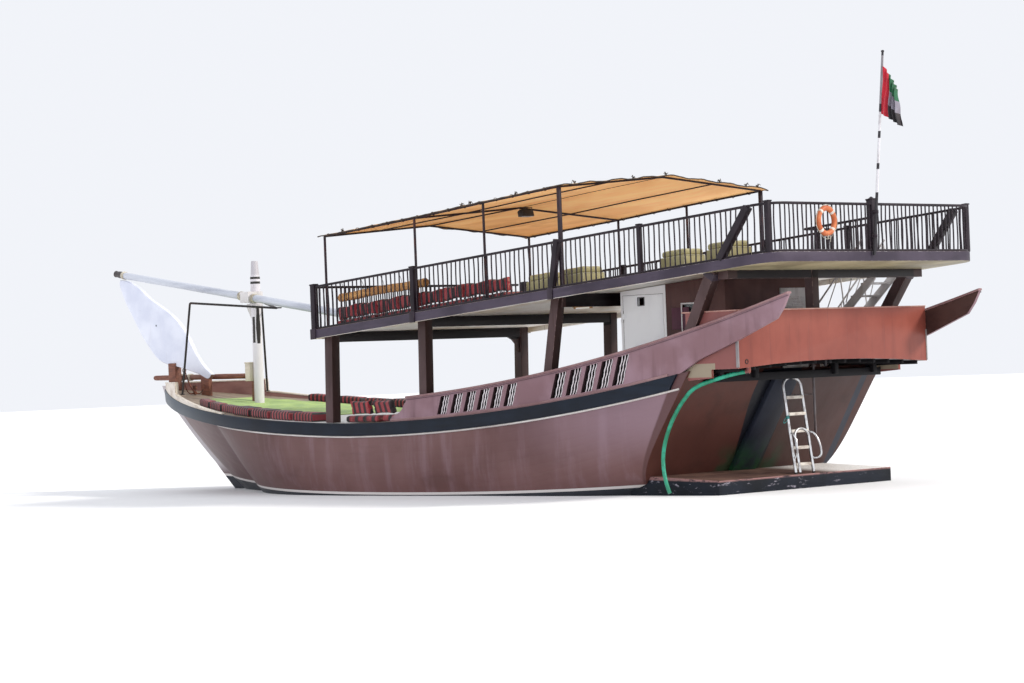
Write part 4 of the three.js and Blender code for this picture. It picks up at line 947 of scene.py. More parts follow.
# Crutch: black-painted steel pipe. Two legs stand on the washboards and two bars run aft to a
# saddle plate under the boom; the bends are swept, and the feet welded to flanges.
LEG_FOOT = Vector((8.4, 1.37, 2.34))
LEG_TOP = Vector((8.25, 1.15, 4.54))
SADDLE = Vector((6.1, 0.28, 4.322))
PIPE_RADIUS = 0.027
black_pipe = Finish("black_pipe", 0.4, Metallic=0.3)
pitting = black_pipe.noise(30, detail=5)
pipe_colour = black_pipe.mix(black_pipe.noise(5, detail=4).eased(0.5, 0.75), 0x1E1A1A, 0x3A2A26)
black_pipe.feed(pipe_colour, 0.34 + pitting * 0.3, pitting, 0.0015)
pipes = []
for side in (1, -1):
    flip = Vector((1, side, 1))
    low, top, rest = LEG_FOOT * flip, LEG_TOP * flip, SADDLE
    near, beyond = (top + (end - top).normalized() * 0.04 for end in (low, rest))
    bend = [near.lerp(top, t).lerp(top.lerp(beyond, t), t) for t in np.linspace(0, 1, 7)]
    pipes.append(tube("leg", [low, low.lerp(top, 0.5)] + bend + [top.lerp(rest, 0.5), rest], PIPE_RADIUS, 16))
    pipes.append(turned("flange", low + Vector((0, 0, -0.012)), low + Vector((0, 0, 0.008)),
                        [(0, 0.058), (0.2, 0.06), (0.8, 0.06), (1, 0.056)], 20))
pipes.append(block("saddle", (6.01, 0.19, 4.31), (6.19, 0.37, 4.34), 0.006))
crutch = merged("boom_crutch_pipes", pipes)
finished(crutch, "dark_pipe", black_pipe, ["boom_crutch"], smooth=50)


# Bulwarks: raised plank walls from the second post aft, which run on past the transom as quarter
# boards. Pierced panels of wavy spindles, a cap rail with a bead under it painted dark as the cap's
# shadow, a lower sill.
BULWARK_IN = 3.095
BULWARK_OUT = 3.175


def bulwark_top(x):
    return 2.1 - 0.035 * x + 0.0102 * x * x


BULWARK_FRONT = -1.22
top_xs = np.linspace(BULWARK_FRONT, -11.88, 78)
SCROLL = ((-0.68, 0.004), (-0.71, 0.06), (-0.78, 0.11), (-0.89, 0.15), (-1.0, 0.19), (-1.08, 0.25),
          (-1.13, 0.33), (-1.17, 0.38), (-1.2, 0.4), (BULWARK_FRONT + 0.004, 0.41))
low_xs = np.linspace(-9.08, -0.7, 50)
bulwark_outline = [(x, sheer_height(x) + rise) for x, rise in SCROLL]
bulwark_outline += [(x, bulwark_top(x) - 0.004) for x in top_xs]
bulwark_outline += [(-11.865, 3.88), (-11.74, 3.66), (-11.56, 3.44), (-11.1, 3.26), (-10.59, 3.06),
                    (-9.55, 2.7)]
bulwark_outline += [(x, sheer_height(x) + 0.001) for x in low_xs]
bulwark = plate("bulwark", bulwark_outline, BULWARK_IN, BULWARK_OUT)
# first opening's aft edge, pitch, width, count
PANELS = ((-2.16, 0.396, 0.276, 6), (-5.503, 0.431, 0.315, 5))
PANEL_LEAN = 0.36
SPINDLE_Y = 0.5 * (BULWARK_IN + BULWARK_OUT)
openings = []
spindle_parts = []
for start, pitch, width, count in PANELS:
    for number in range(count):
        front = start - number * pitch
        rear = front - width
        lean = PANEL_LEAN * (bulwark_top(front) - 0.1 - sheer_height(front) - 0.08)
        corners = [(x, sheer_height(x) + 0.08) for x in (rear, front)]
        corners += [(x, bulwark_top(x) - 0.1) for x in (front - lean, rear - lean)]
        openings.append(plate("opening", corners, BULWARK_IN - 0.05, BULWARK_OUT + 0.05))
        for part in (0.17, 0.42, 0.67):
            foot = Vector((rear + part * width, SPINDLE_Y, sheer_height(rear + part * width) + 0.07))
            head = Vector((foot.x - lean, SPINDLE_Y, bulwark_top(foot.x - lean) - 0.08))
            line = [foot.lerp(head, t) + Vector((0.008 * sin(t * 19 + part * 3), 0, 0))
                    for t in np.linspace(0, 1, 15)]
            spindle_parts.append(tube("spindle", line, [0.0125 + 0.002 * cos(t * 38) for t in
                                                        np.linspace(0, 1, 15)], 8))
cut_out(bulwark, openings)
ease(bulwark, 0.006, 2, 40)
rose_paint = painted_wood("rose_paint", 0x7E6066, 0x927680, 0x64484C, 0xB09A98, 0.4, along="z", wear=0.7)
inner_wall = rose_paint.facing("Y") * ((rose_paint.y > 0) * 2 - 1) < -0.5
inner_colour = rose_paint.mix(rose_paint.noise(2, (0.6, 1, 1), 4).eased(0.4, 0.65), 0x35211F, 0x47302C)
# painted shade: the cheeks of the openings in the pierced panels are darkened nearly black
shaded_reveals = (abs(rose_paint.facing("X")) > 0.5) * (rose_paint.x > -9.0) * (rose_paint.x < -1.3)
outer_colour = rose_paint.mix(shaded_reveals * 0.85, rose_paint.colour, 0x1C1212)
rose_paint.feed(rose_paint.mix(inner_wall, outer_colour, inner_colour))
both_sides("bulwark_boards", bulwark, ["bulwark"], slot="rose_paint", finish=rose_paint)
spindle_paint = painted_wood("spindle_paint", 0xE8E2E4, 0xD0C6CA, 0xA08E92, 0x6A5054, 0.5, wear=0.2)
both_sides("bulwark_spindles", merged("bulwark_spindles", spindle_parts), ["bulwark"], slot="white_paint",
           finish=spindle_paint, smooth=60)


# Bulwark shadow sheets, cap, bead and sill: near-black boards set inside the pierced panels are
# painted shade, the dark of the boat's inside seen through them; the cap rail and the two mouldings
# are planed lengths bent round the sheer.
# painted shade: these near-black boards fill the pierced panels with the dark of the boat's inside
shadow_sheets = []
for fore, aft in ((-2.05, -4.75), (-5.42, -8.3)):
    xs = np.linspace(fore, aft, 20)
    rim_line = [(x, bulwark_top(x) - 0.07) for x in xs] + [(x, sheer_height(x) + 0.03) for x in reversed(xs)]
    shadow_sheets.append(plate("shadow_sheet", rim_line, 3.079, 3.093))
shadow_sheet_paint = painted_wood("shadow_sheet_black", 0x060404, 0x0C0808, 0x040304, 0x2A2222, 0.8, wear=0.2)
both_sides("bulwark_shadow_sheets", merged("bulwark_shadow_sheets", shadow_sheets), slot="rose_paint", finish=shadow_sheet_paint)


def capped(x, low, high, out, inner):
    top = bulwark_top(x)
    return [(x, inner, top + low), (x, out - 0.01, top + low), (x, out, top + low + 0.008),
            (x, out, top + high - 0.012), (x, out - 0.012, top + high), (x, inner + 0.012, top + high),
            (x, inner, top + high - 0.012)]


cap_rail = swept("bulwark_cap", [capped(x, -0.045, 0.0, 3.2, 3.07) for x in top_xs])
cap_paint = painted_wood("cap_paint", 0x7E5E60, 0x947678, 0x644A4C, 0xB89E98, 0.4, along="x", wear=1.0)
both_sides("bulwark_cap", cap_rail, slot="rose_paint", finish=cap_paint)
# painted shadow: the bead under the cap rail is painted dark for the shadow the cap casts
bead = swept("bulwark_bead", [capped(x, -0.082, -0.07, 3.183, 3.15) for x in top_xs])
shadow_paint = painted_wood("bead_shadow_paint", 0x3A2830, 0x4A343C, 0x2A2026, 0x5A4448, 0.5, along="x", wear=0.3)
both_sides("bulwark_bead", bead, slot="rose_paint", finish=shadow_paint)


def sill_section(x):
    low = sheer_height(x) + 0.002
    return [(x, 3.16, low), (x, 3.192, low), (x, 3.196, low + 0.04), (x, 3.185, low + 0.055),
            (x, 3.16, low + 0.06)]


sill = swept("bulwark_sill", [sill_section(x) for x in np.linspace(-8.75, -0.75, 60)])
both_sides("bulwark_sill", sill, slot="rose_paint", finish=cap_paint)


# Gallery box: plank box hung over the transom, painted coral, with a bead along its rim, grey corner
# posts, and black joists under its floor; cream knees carry it on the quarters. Painted shade turns
# its sides mauve and its underside near-black.
BOX_X0, BOX_X1, BOX_HALF, BOX_TOP = -10.5, -9.18, 3.08, 3.64


def box_floor(y):
    return 2.5 + 0.11 * (1 - (y / BOX_HALF) ** 2)


coral = Finish("coral_paint", 0.42, Specular_IOR_Level=0.3)
coral_fade = coral.noise(0.7, detail=4)
coral_runs = coral.noise(3.4, (1.4, 1.4, 0.16), 5)
seam_at = (coral.y + coral.noise(2, detail=2) * 0.02).off_middle(0.62, 10.0)
seam = (1 - seam_at.eased(0.004, 0.012)) * coral.noise(1.7, (0, 1.2, 1), 2).eased(0.4, 0.6)
side_face = abs(coral.facing("Y")).eased(0.5, 0.8)
shaded_box_underside = (coral.facing("Z") * -1).eased(0.4, 0.7)
knee = coral.z.between(2.2, 2.62) * coral.x.between(-9.9, -9.0) * side_face
coral_worn = coral.edges(0.01) * coral.noise(16, detail=5).eased(0.45, 0.6)
coral_colour = coral.coats(
    (coral_fade.eased(0.3, 0.7), 0x7A3C32, 0x8C4B3F),
    (coral_runs.eased(0.5, 0.72) * 0.35, 0x6A3630),
    # painted shade: the box's sides are turned mauve, a shaded copy of the sunlit coral
    (side_face * 0.5, 0x7A5456),
    (seam * 0.5, 0x6A3A38),
    # painted shade: faces turned down are near-black
    (shaded_box_underside, 0x231F26),
    (knee * (1 - (2.36 - coral.z).eased(0.0, 0.02)), 0x8E8270),
    (coral_worn * 0.8, 0xD0A498))
coral.feed(coral_colour, 0.34 + coral_fade * 0.2, coral_runs * 0.6 - seam * 0.5, 0.003)
gallery = dressed("gallery_box", "gallery_planking", 0.012, 2)
finished(gallery, "rose_paint", coral, ["gallery_box"])
trim = [block("rim", (BOX_X0 - 0.012, -BOX_HALF - 0.01, BOX_TOP - 0.01),
              (BOX_X0 + 0.075, BOX_HALF + 0.01, BOX_TOP + 0.018), 0.008)]
for side in (1, -1):
    y0, y1 = sorted((side * (BOX_HALF - 0.07), side * (BOX_HALF + 0.012)))
    trim.append(block("rim", (BOX_X0, y0, BOX_TOP - 0.01), (BOX_X1 + 0.1, y1, BOX_TOP + 0.018), 0.008))
rim_paint = painted_wood("rim_paint", 0x9C6E64, 0xB48C80, 0x7A4C44, 0xD8C8BE, 0.4, along="y")
finished(merged("gallery_rim", trim), "rose_paint", rim_paint)
posts = []
for side in (1, -1):
    y0, y1 = sorted((side * (BOX_HALF - 0.02), side * (BOX_HALF + 0.014)))
    posts.append(block("corner", (BOX_X0 - 0.014, y0, 2.52), (BOX_X0 + 0.05, y1, 3.16), 0.006))
grey_paint = painted_wood("grey_paint", 0x7E7A7C, 0x96908E, 0x5E5456, 0x4A3C3C, 0.5)
finished(merged("gallery_corner_posts", posts), "rose_paint", grey_paint)
vent = turned("vent", (BOX_X0 + 0.03, 2.83, 2.63), (BOX_X0 - 0.012, 2.83, 2.63),
              [(0, 0.045), (0.9, 0.05), (1, 0.046), (0.98, 0.036), (0.6, 0.034)], 20)
finished(vent, "dark_pipe", black_pipe)
joists = []
for y in np.linspace(-2.9, 2.9, 13):
    low = box_floor(y) - 0.055
    joists.append(block("joist", (BOX_X0 + 0.14, y - 0.035, low - 0.02),
                        (BOX_X1 + 0.15, y + 0.035, low + 0.06), 0.006))
joists.append(block("hanger", (-10.48, 0.27, box_floor(0.3) - 0.13), (-10.44, 0.33, box_floor(0.3)), 0.008))
tar_paint = painted_wood("tar_paint", 0x0C0B0E, 0x141216, 0x08070A, 0x342C2C, 0.6, along="x", wear=0.3)
finished(merged("gallery_joists", joists), "navy_paint", tar_paint)
ledge = [block("ledge", (-9.42, -2.9, 2.24), (-9.02, 2.55, 2.4), 0.012)]
for y in (-2.6, -1.3, 1.3, 2.4):
    ledge.append(block("cleat", (-9.5, y - 0.06, 2.3), (-9.38, y + 0.06, 2.56), 0.01))
finished(merged("stern_ledge", ledge), "navy_paint", tar_paint)

# Stern casing, and the exhaust pipe beside it: planks over the rudder's trunk, painted dark blue, and
# a steel pipe with a flange under the gallery and a stay to the casing.
casing = dressed("transom_casing", "stern_casing", 0.016, 3)
casing_paint = Finish("casing_paint", 0.45, Specular_IOR_Level=0.15)
casing_wear = casing_paint.noise(1.6, (1, 1, 0.4), 6)
casing_weed = (1.15 - casing_paint.z).eased(0.0, 0.7) * casing_paint.noise(2.2, detail=5).eased(0.35, 0.6)
casing_colour = casing_paint.coats(
    (casing_wear.eased(0.35, 0.65), 0x1E222E, 0x2C303C),
    (casing_weed * 0.85, 0x1F4A2A))
casing_paint.feed(casing_colour, 0.34 + casing_wear * 0.25, casing_wear, 0.004)
finished(casing, "navy_paint", casing_paint, ["transom_casing"])
PIPE_X, PIPE_Y = -9.3, -0.76
exhaust = tube("pipe", [(PIPE_X, PIPE_Y, z) for z in (2.56, 2.0, 1.5, 1.02)], 0.026, 16)
flange = turned("flange", (PIPE_X, PIPE_Y, 2.47), (PIPE_X, PIPE_Y, 2.5),
                [(0, 0.055), (0.2, 0.06), (0.8, 0.06), (1, 0.055)], 20)
stay = tube("stay", [(PIPE_X, PIPE_Y, 1.9), (-9.12, -0.55, 1.9), (-8.96, -0.36, 1.9)], 0.012, 10)
pipe_grey = stained("pipe_grey", (9, (1, 1, 0.3), 5), (0.4, 0.65), 0x6A6466, 0x4A3A38, 0.45, 0.3, 0.002,
                    Metallic=0.35)
finished(merged("exhaust_pipe", [exhaust, flange, stay]), "dark_pipe", pipe_grey, smooth=50)

# Landing platform: a planked step along the transom near the water, painted dark blue, worn pink
# along its upper edge and white with use at its starboard end.
platform = dressed("stern_platform", "landing_platform", 0.018, 3)
for vertex in platform.data.vertices:
    if vertex.co.z > 0.1:
        vertex.co.z += 0.1 * part_way(-vertex.co.x, 8.3, 9.6)
step_paint = Finish("platform_paint", 0.5, Specular_IOR_Level=0.2)
step_fade = step_paint.noise(0.9, detail=5)
scuffs = step_paint.noise(5, (1, 0.5, 2.5), 6, 0.7)
step_top = step_paint.facing("Z").eased(0.6, 0.9)
height = step_paint.z - 0.29 - (step_paint.x + 9.65) * 0.03
rubbed_edge = (height + 0.05).eased(0.0, 0.04) * scuffs.eased(0.36, 0.5)
board_gap = step_paint.x.off_middle(0.16).eased(0.0, 0.006)
top_colour = step_paint.coats(
    (step_fade.eased(0.4, 0.6), 0x55403A, 0x6E544A),
    ((1 - (step_paint.y + 1.5).eased(0.0, 1.0)) * scuffs.eased(0.2, 0.4), 0xE6E2DE),
    (1 - board_gap, 0x1A1A20))
step_colour = step_paint.coats(
    (step_fade.eased(0.35, 0.65), 0x0A0E16, 0x141A26),
    (scuffs.eased(0.58, 0.68) * (step_paint.y + 3.2).eased(0.0, 5.0), 0x9A94A0),
    (rubbed_edge * (1 - step_top), 0x8E6A68),
    (step_top, top_colour))
step_paint.feed(step_colour, 0.45 + scuffs * 0.3, scuffs * 0.6 + board_gap * step_top, 0.004)
finished(platform, "navy_paint", step_paint, ["stern_platform"])

# Swim ladder: aluminium tube bent over at the head, with flat plastic treads bolted between its
# sides, a folding part low down, rubber feet, and a teal cord tied to its port side.
LADDER_FOOT = np.array((-9.585, 0, 0.296))
LADDER_HEAD = np.array((-9.33, 0, 2.1))
LADDER_HALF = 0.29


def on_ladder(y, z, out=0.0):
    part = (z - LADDER_FOOT[2]) / (LADDER_HEAD[2] - LADDER_FOOT[2])
    return np.array((LADDER_FOOT[0] + part * (LADDER_HEAD[0] - LADDER_FOOT[0]) - out, y, z))


def hoop(half, foot, head, radius, out, steps=9):
    """A bent tube: up one side, over the head in an arch, and down the other side."""
    turn = np.linspace(0, pi, steps * 2)
    arch = [on_ladder(half * cos(a), head + radius * sin(a), out) for a in turn]
    low = [on_ladder(half, foot, out), on_ladder(half, 0.5 * (foot + head), out)]
    return low + arch + [point * (1, -1, 1) for point in reversed(low)]


ladder_parts = [tube("sides", hoop(LADDER_HALF, 0.31, 2.08, 0.19, 0.0), 0.031, 16)]
ladder_parts.append(tube("fold", hoop(0.22, 0.33, 1.06, 0.16, 0.06), 0.025, 14))
ladder_parts.append(tube("fold_rails", hoop(0.33, 0.62, 0.62, -0.02, 0.06)[:2][::-1] + [
    on_ladder(0.335, 0.75, 0.16), on_ladder(0.33, 1.0, 0.17), on_ladder(0.31, 1.14, 0.06)], 0.021, 14))
ladder_parts.append(tube("fold_rails", through([
    on_ladder(-0.29, 1.16, 0.02), on_ladder(-0.34, 1.1, 0.12), on_ladder(-0.37, 0.9, 0.2),
    on_ladder(-0.37, 0.66, 0.19), on_ladder(-0.33, 0.6, 0.08), on_ladder(-0.29, 0.62, 0.02)], 6), 0.022, 14))
treads = []
for z in (0.49, 0.83, 1.17, 1.52, 1.86):
    treads.append(block("tread", on_ladder(-0.268, z) - (0.05, 0, 0.034),
                        on_ladder(0.268, z) + (0.04, 0, 0.032), 0.012, 3))
    for side in (1, -1):
        bolt = on_ladder(side * LADDER_HALF, z)
        ladder_parts.append(turned("bolt", bolt + (0, side * 0.02, 0), bolt + (0, side * 0.034, 0),
                                   [(0, 0.014), (0.7, 0.014), (1, 0.008)], 12))
brushed = Finish("brushed_aluminium", 0.3, Metallic=0.9)
brush_lines = brushed.noise(60, (1, 1, 0.06), 2)
haze = brushed.noise(7, detail=4)
brushed.feed(brushed.mix(haze.eased(0.4, 0.7), 0xD5D6D8, 0xA9A5A6), 0.24 + haze * 0.25, brush_lines, 0.0006)
finished(merged("swim_ladder", ladder_parts), "aluminium", brushed, ["stern_ladder"], smooth=50)
tread_grey = stained("tread_plastic", (9, (1, 0.5, 1), 5), (0.4, 0.7), 0xCFC8BE, 0xA0948A, 0.5, 0, 0.001)
finished(merged("ladder_treads", treads), "aluminium", tread_grey)
feet = [turned("foot", on_ladder(side * LADDER_HALF, 0.272), on_ladder(side * LADDER_HALF, 0.34),
               [(0, 0.03), (0.8, 0.032), (1, 0.028)], 16) for side in (1, -1)]
rubber = stained("black_rubber", (11, (1, 1, 1), 5), (0.45, 0.7), 0x1A1A1C, 0x3A393B, 0.65, 0.25, 0.002)
finished(merged("ladder_feet", feet), "dark_pipe", rubber)
teal_cord = Finish("teal_cord", 0.85)
teal_cord.feed(teal_cord.mix(teal_cord.noise(30, detail=3).eased(0.4, 0.6), 0x2E8A88, 0x1E5E62), 0.8,
               teal_cord.noise(80), 0.002)
tie = [lashing("tie", on_ladder(LADDER_HALF, 1.46), (0.14, 0, 1), 0.023, 5, 0.007),
       tube("tail", through([on_ladder(0.3, 1.46), on_ladder(0.37, 1.42, -0.02), on_ladder(0.42, 1.34, -0.02),
                             on_ladder(0.36, 1.37, 0.0), on_ladder(0.31, 1.44, 0.02)], 6), 0.006, 8)]
finished(merged("ladder_tie", tie), "green_hose", teal_cord, smooth=60)

# Rudder and propeller, under water: a plank rudder bound with iron on its stock, and a bronze screw
# with three twisted blades on its shaft.
rudder = dressed("rudder", "rudder_blade", 0.012, 2)
finished(rudder, "hull_brown", hull_paint, ["rudder"], body="rudder_assembly")
straps = [block("strap", (-7.62, -0.036, z - 0.03), (-7.13, 0.036, z + 0.03), 0.004)
          for z in (-1.3, -0.95, -0.62)]
finished(merged("rudder_straps", straps), "rusty_iron", rust, body="rudder_assembly")
PROP_X, SHAFT_Z = -6.62, -1.08
screw = [turned("hub", (PROP_X - 0.15, 0, SHAFT_Z), (PROP_X + 0.11, 0, SHAFT_Z),
                [(0, 0.012), (0.06, 0.035), (0.16, 0.06), (0.5, 0.073), (0.9, 0.075), (1, 0.066)], 28),
         turned("shaft", (PROP_X + 0.1, 0, SHAFT_Z), (-6.07, 0, SHAFT_Z), [(0, 0.035), (1, 0.035)], 24)]
for number in range(3):
    rows = []
    for radius in np.linspace(0.05, 0.388, 12):
        part = (radius - 0.05) / 0.338
        chord = 0.075 * (0.75 + 1.0 * sin(pi * min(1.0, part * 0.93 + 0.08)))
        pitch = 1.05 - 0.55 * part
        thick = 0.012 * (1 - 0.75 * part)
        loop = [(cos(a) * chord, sin(a) * thick) for a in np.linspace(0, 2 * pi, 16, endpoint=False)]
        rows.append([(PROP_X + c * cos(pitch) - t * sin(pitch), c * sin(pitch) + t * cos(pitch),
                      radius) for c, t in loop])
    wing = swept("wing", rows)
    spin = Matrix.Rotation(number * 2 * pi / 3, 4, "X")
    wing.data.transform(Matrix.Translation((0, 0, SHAFT_Z)) @ spin)
    screw.append(wing)
bronze = stained("propeller_bronze", (8, (1, 1, 1), 5), (0.4, 0.65), 0xA8854C, 0x5E5A3C, 0.28, 0.35, 0.002,
                 Metallic=0.9)
finished(merged("bronze_screw", screw), "bronze", bronze, ["propeller"], body="propeller_assembly", smooth=40)

# Engine: a six-cylinder marine diesel on its bearers, cast iron painted grey-green, with rocker
# covers, a manifold, a flywheel housing and a belt wheel.
ENGINE_BACK, ENGINE_FRONT = -4.45, -3.15
CYLINDERS, CYLINDER_PITCH = 6, 0.152
castings = [
    block("crankcase", (ENGINE_BACK + 0.12, -0.25, -0.62), (ENGINE_FRONT - 0.12, 0.25, -0.2), 0.03, 3),
    block("sump", (ENGINE_BACK + 0.2, -0.17, -0.7), (ENGINE_FRONT - 0.2, 0.17, -0.6), 0.02),
    block("cylinders", (ENGINE_BACK + 0.16, -0.17, -0.22), (ENGINE_FRONT - 0.16, 0.15, 0.06), 0.015),
    turned("flywheel_case", (ENGINE_BACK, 0, -0.42), (ENGINE_BACK + 0.16, 0, -0.42),
           [(0, 0.2), (0.1, 0.26), (0.8, 0.27), (1, 0.25)], 32),
    turned("belt_wheel", (ENGINE_FRONT - 0.1, 0, -0.44), (ENGINE_FRONT, 0, -0.44),
           [(0, 0.09), (0.2, 0.12), (0.5, 0.1), (0.8, 0.12), (1, 0.11)], 28),
    tube("exhaust", [(ENGINE_BACK + 0.3, 0.24, -0.02), (ENGINE_FRONT - 0.3, 0.24, -0.02)], 0.05, 16)]
for number in range(CYLINDERS):
    x = ENGINE_BACK + 0.27 + number * CYLINDER_PITCH
    castings.append(block("rocker_cover", (x - 0.068, -0.13, 0.05), (x + 0.068, 0.11, 0.16), 0.02, 3))
    castings.append(tube("port", [(x, 0.12, -0.02), (x, 0.24, -0.02)], 0.03, 12))
    castings.append(tube("feed", through([(x, -0.12, 0.09), (x, -0.2, 0.06), (x, -0.25, -0.2)], 5), 0.006, 8))
for side in (1, -1):
    castings.append(block("bearer", (ENGINE_BACK, side * 0.31 - 0.05, -0.7),
                          (ENGINE_FRONT, side * 0.31 + 0.05, -0.56), 0.01))
engine_paint = Finish("engine_paint", 0.55, Metallic=0.25)
grease = engine_paint.noise(3.5, detail=5)
engine_colour = engine_paint.mix(grease.eased(0.42, 0.62), 0x5C6A66, 0x2E2C28)
engine_paint.feed(engine_colour, 0.4 + grease * 0.35, engine_paint.noise(60, detail=3), 0.001)
finished(merged("marine_diesel", castings), "engine_iron", engine_paint, ["engine"], smooth=35)

# Engine hatch: a teak coaming let into the deck and a planked lid on two strap hinges.
coaming = dressed("hatch_coaming", "coaming", 0.012)
finished(coaming, "oiled_teak", teak, ["hatch_coaming"])
LID_LOW, LID_TOP = 1.9308, 1.978
lid_boards = [block("board", (-4.72, y + 0.003, LID_LOW + 0.012), (-2.88, y + 0.131, LID_TOP), 0.005)
              for y in np.arange(-0.67, 0.66, 0.134)]
lid_boards += [block("batten", (x - 0.05, -0.62, LID_LOW), (x + 0.05, 0.62, LID_LOW + 0.014), 0.003)
               for x in (-4.4, -3.8, -3.2)]
finished(merged("hatch_lid_boards", lid_boards), "oiled_teak", teak, ["engine_hatch"], body="hatch_lid")
lid_iron = [block("hinge", (-3.35, y - 0.03, LID_TOP - 0.002), (-2.885, y + 0.03, LID_TOP + 0.006), 0.002)
            for y in (-0.42, 0.42)]
bpy.ops.mesh.primitive_torus_add(major_radius=0.05, minor_radius=0.008, location=(-4.55, 0, LID_TOP + 0.006),
                                 major_segments=28, minor_segments=10)
lid_iron.append(bpy.context.object)
finished(merged("hatch_lid_irons", lid_iron), "rusty_iron", rust, body="hatch_lid", smooth=50)


# Upper deck: planked floor on beams, which rises aft, with a deep plum fascia round it and a ceiling
# of pale painted sheets that have cockled between their nails.
def deck_height(x, above=0.0):
    return 3.8 - 0.08 * x + above


def on_deck(piece):
    """Lifts a piece drawn flat on the ground to the slope and height of the upper deck."""
    piece.data.transform(Matrix(((1, 0, 0, 0), (0, 1, 0, 0), (-0.08, 0, 1, 3.8), (0, 0, 0, 1))))
    return piece


upper_deck = dressed("upper_deck", "upper_deck_planking", 0.012, 2)
deck_paint = Finish("upper_deck_paint", 0.5, Specular_IOR_Level=0.25)
up = deck_paint.facing("Z")
floor_plank = deck_paint.noise(1.0, (0.0, 8.0, 0), 0)
floor_grain = deck_paint.noise(3, (1.2, 26, 6), 5)
floor_gap = 1 - deck_paint.y.off_middle(0.125).eased(0.057, 0.0615)
floor_colour = deck_paint.coats(
    (floor_plank.eased(0.3, 0.7), 0x7A6A60, 0x948478),
    (floor_grain.eased(0.4, 0.7) * 0.45, 0x5E5048),
    (1 - floor_gap, 0x2E2826))
plum_fade = deck_paint.noise(0.9, detail=4)
plum_streak = deck_paint.noise(2.6, (0.5, 0.5, 2.5), 5)
plum_chip = deck_paint.noise(15, (0.5, 0.5, 1), 6, 0.7)
flecks = deck_paint.edges(0.022) * plum_chip.eased(0.5, 0.58)
fascia_colour = deck_paint.coats(
    (plum_fade.eased(0.34, 0.66), 0x352D3A, 0x473E4C),
    (plum_streak.eased(0.52, 0.72) * 0.5, 0x2E2834),
    (flecks, 0xC9C2C6))
sheet_wave = deck_paint.noise(1.1, (0.35, 1.6, 1), 4, swirl=0.8)
sheet_stain = deck_paint.noise(0.7, detail=5)
sheet_joint = 1 - deck_paint.x.off_middle(1.22).eased(0.602, 0.607)
aft_lining = (-9.98 - deck_paint.x).eased(0.0, 0.04)
ceiling_colour = deck_paint.coats(
    (sheet_stain.eased(0.42, 0.66), 0xFFFCF4, 0xEADCC4),
    ((1 - sheet_joint) * 0.6, 0x7A6E62),
    (aft_lining, deck_paint.mix(sheet_stain.eased(0.4, 0.6), 0xA69C7C, 0x857C62)))
under_floor = deck_paint.z + deck_paint.x * 0.08 < 3.79
inside = (abs(deck_paint.y) < 3.385) * deck_paint.x.between(-11.1, 1.46) * under_floor
deck_colour = deck_paint.coats(
    (up.eased(0.4, 0.6), deck_paint.mix(inside, fascia_colour, ceiling_colour), floor_colour),
    ((up * -1).eased(0.55, 0.75), ceiling_colour))
deck_relief = sheet_wave * (up * -1).eased(0.55, 0.75) * 9 + plum_chip * 0.3 + floor_gap * up.eased(0.4, 0.6)
deck_paint.feed(deck_colour, 0.36 + plum_fade * 0.2, deck_relief, 0.004)
finished(upper_deck, "plum_paint", deck_paint, ["upper_deck"])

# Fascia posts: the heavy square posts of the rail run down over the fascia, over the frames' heads,
# and are bolted through it; the third one leans with its frame.
plum_paint = painted_wood("plum_paint", 0x2C242C, 0x3A303A, 0x1E1A20, 0x80747A, 0.38, wear=0.8)
pads = []
for x, size in ((1.37, 0.16), (-1.78, 0.15), (-5.86, 0.14)):
    for side in (1, -1):
        y0, y1 = sorted((side * 3.41, side * 3.462))
        pad = block("pad", (x - size / 2, y0, -0.21), (x + size / 2, y1, 0.02), 0.01)
        pads.append(on_deck(pad))
finished(merged("fascia_posts", pads), "plum_paint", plum_paint, ["upper_deck"])

# Frames: three portals of square timber, and aft two raked struts with a pillar and a beam; mauve
# where the light reaches them, with painted shade that darkens their fore and aft faces and turns
# their beams under the deck near-black. A knee braces the first one, and a cap is nailed round the
# head of each strut.
frame_paint = Finish("frame_paint", 0.45, Specular_IOR_Level=0.2)
frame_fade = frame_paint.noise(0.9, (1, 1, 0.5), 5)
frame_grain = frame_paint.noise(3, (6, 6, 0.35), 6)
frame_chip = frame_paint.noise(14, detail=5, rough=0.65)
shaded_fore_and_aft_faces = abs(frame_paint.facing("X")).eased(0.3, 0.7)
below_deck = frame_paint.z - 3.6 + frame_paint.x * 0.08
shaded_beams = (below_deck + 0.17).eased(0.0, 0.02) * (abs(frame_paint.y) < 2.88)
frame_worn = frame_paint.edges(0.016) * frame_chip.eased(0.48, 0.6)
frame_colour = frame_paint.coats(
    (frame_fade.eased(0.35, 0.65), 0x40302F, 0x564243),
    (frame_grain.eased(0.5, 0.72) * 0.5, 0x3C2828),
    # painted shade: faces turned fore and aft are darkened
    (shaded_fore_and_aft_faces * 0.7, 0x2C1C18),
    # painted shade: the beams under the deck are near-black
    (shaded_beams, 0x140E10),
    (frame_worn * 0.8, 0xB09690))
frame_paint.feed(frame_colour, 0.32 + frame_fade * 0.2, frame_grain * 0.6 + frame_chip * 0.2, 0.003)
BEAM_LIFT = 0.055  # the beams are a little shallower than the solids'
for node in ("front_frame", "second_frame", "third_frame", "aft_frame"):
    timbers = dressed(node, node + "_timbers", 0)
    if node != "aft_frame":
        for vertex in timbers.data.vertices:
            x, y, z = vertex.co
            if abs(y) < 2.95 and deck_height(x) - 0.42 < z < deck_height(x) - 0.3:
                vertex.co.z += BEAM_LIFT
    finished(ease(timbers, 0.014, 3), "plum_paint", frame_paint, [node])


def timber(name, foot, head, width):
    """A square post between two points, its sides facing X and Y when it stands upright."""
    foot, head = Vector(foot), Vector(head)
    piece = block(name, (-width / 2, -width / 2, 0), (width / 2, width / 2, (head - foot).length), 0.012)
    turn = Vector((0, 0, 1)).rotation_difference(head - foot)
    piece.data.transform(Matrix.Translation(foot) @ turn.to_matrix().to_4x4())
    return piece


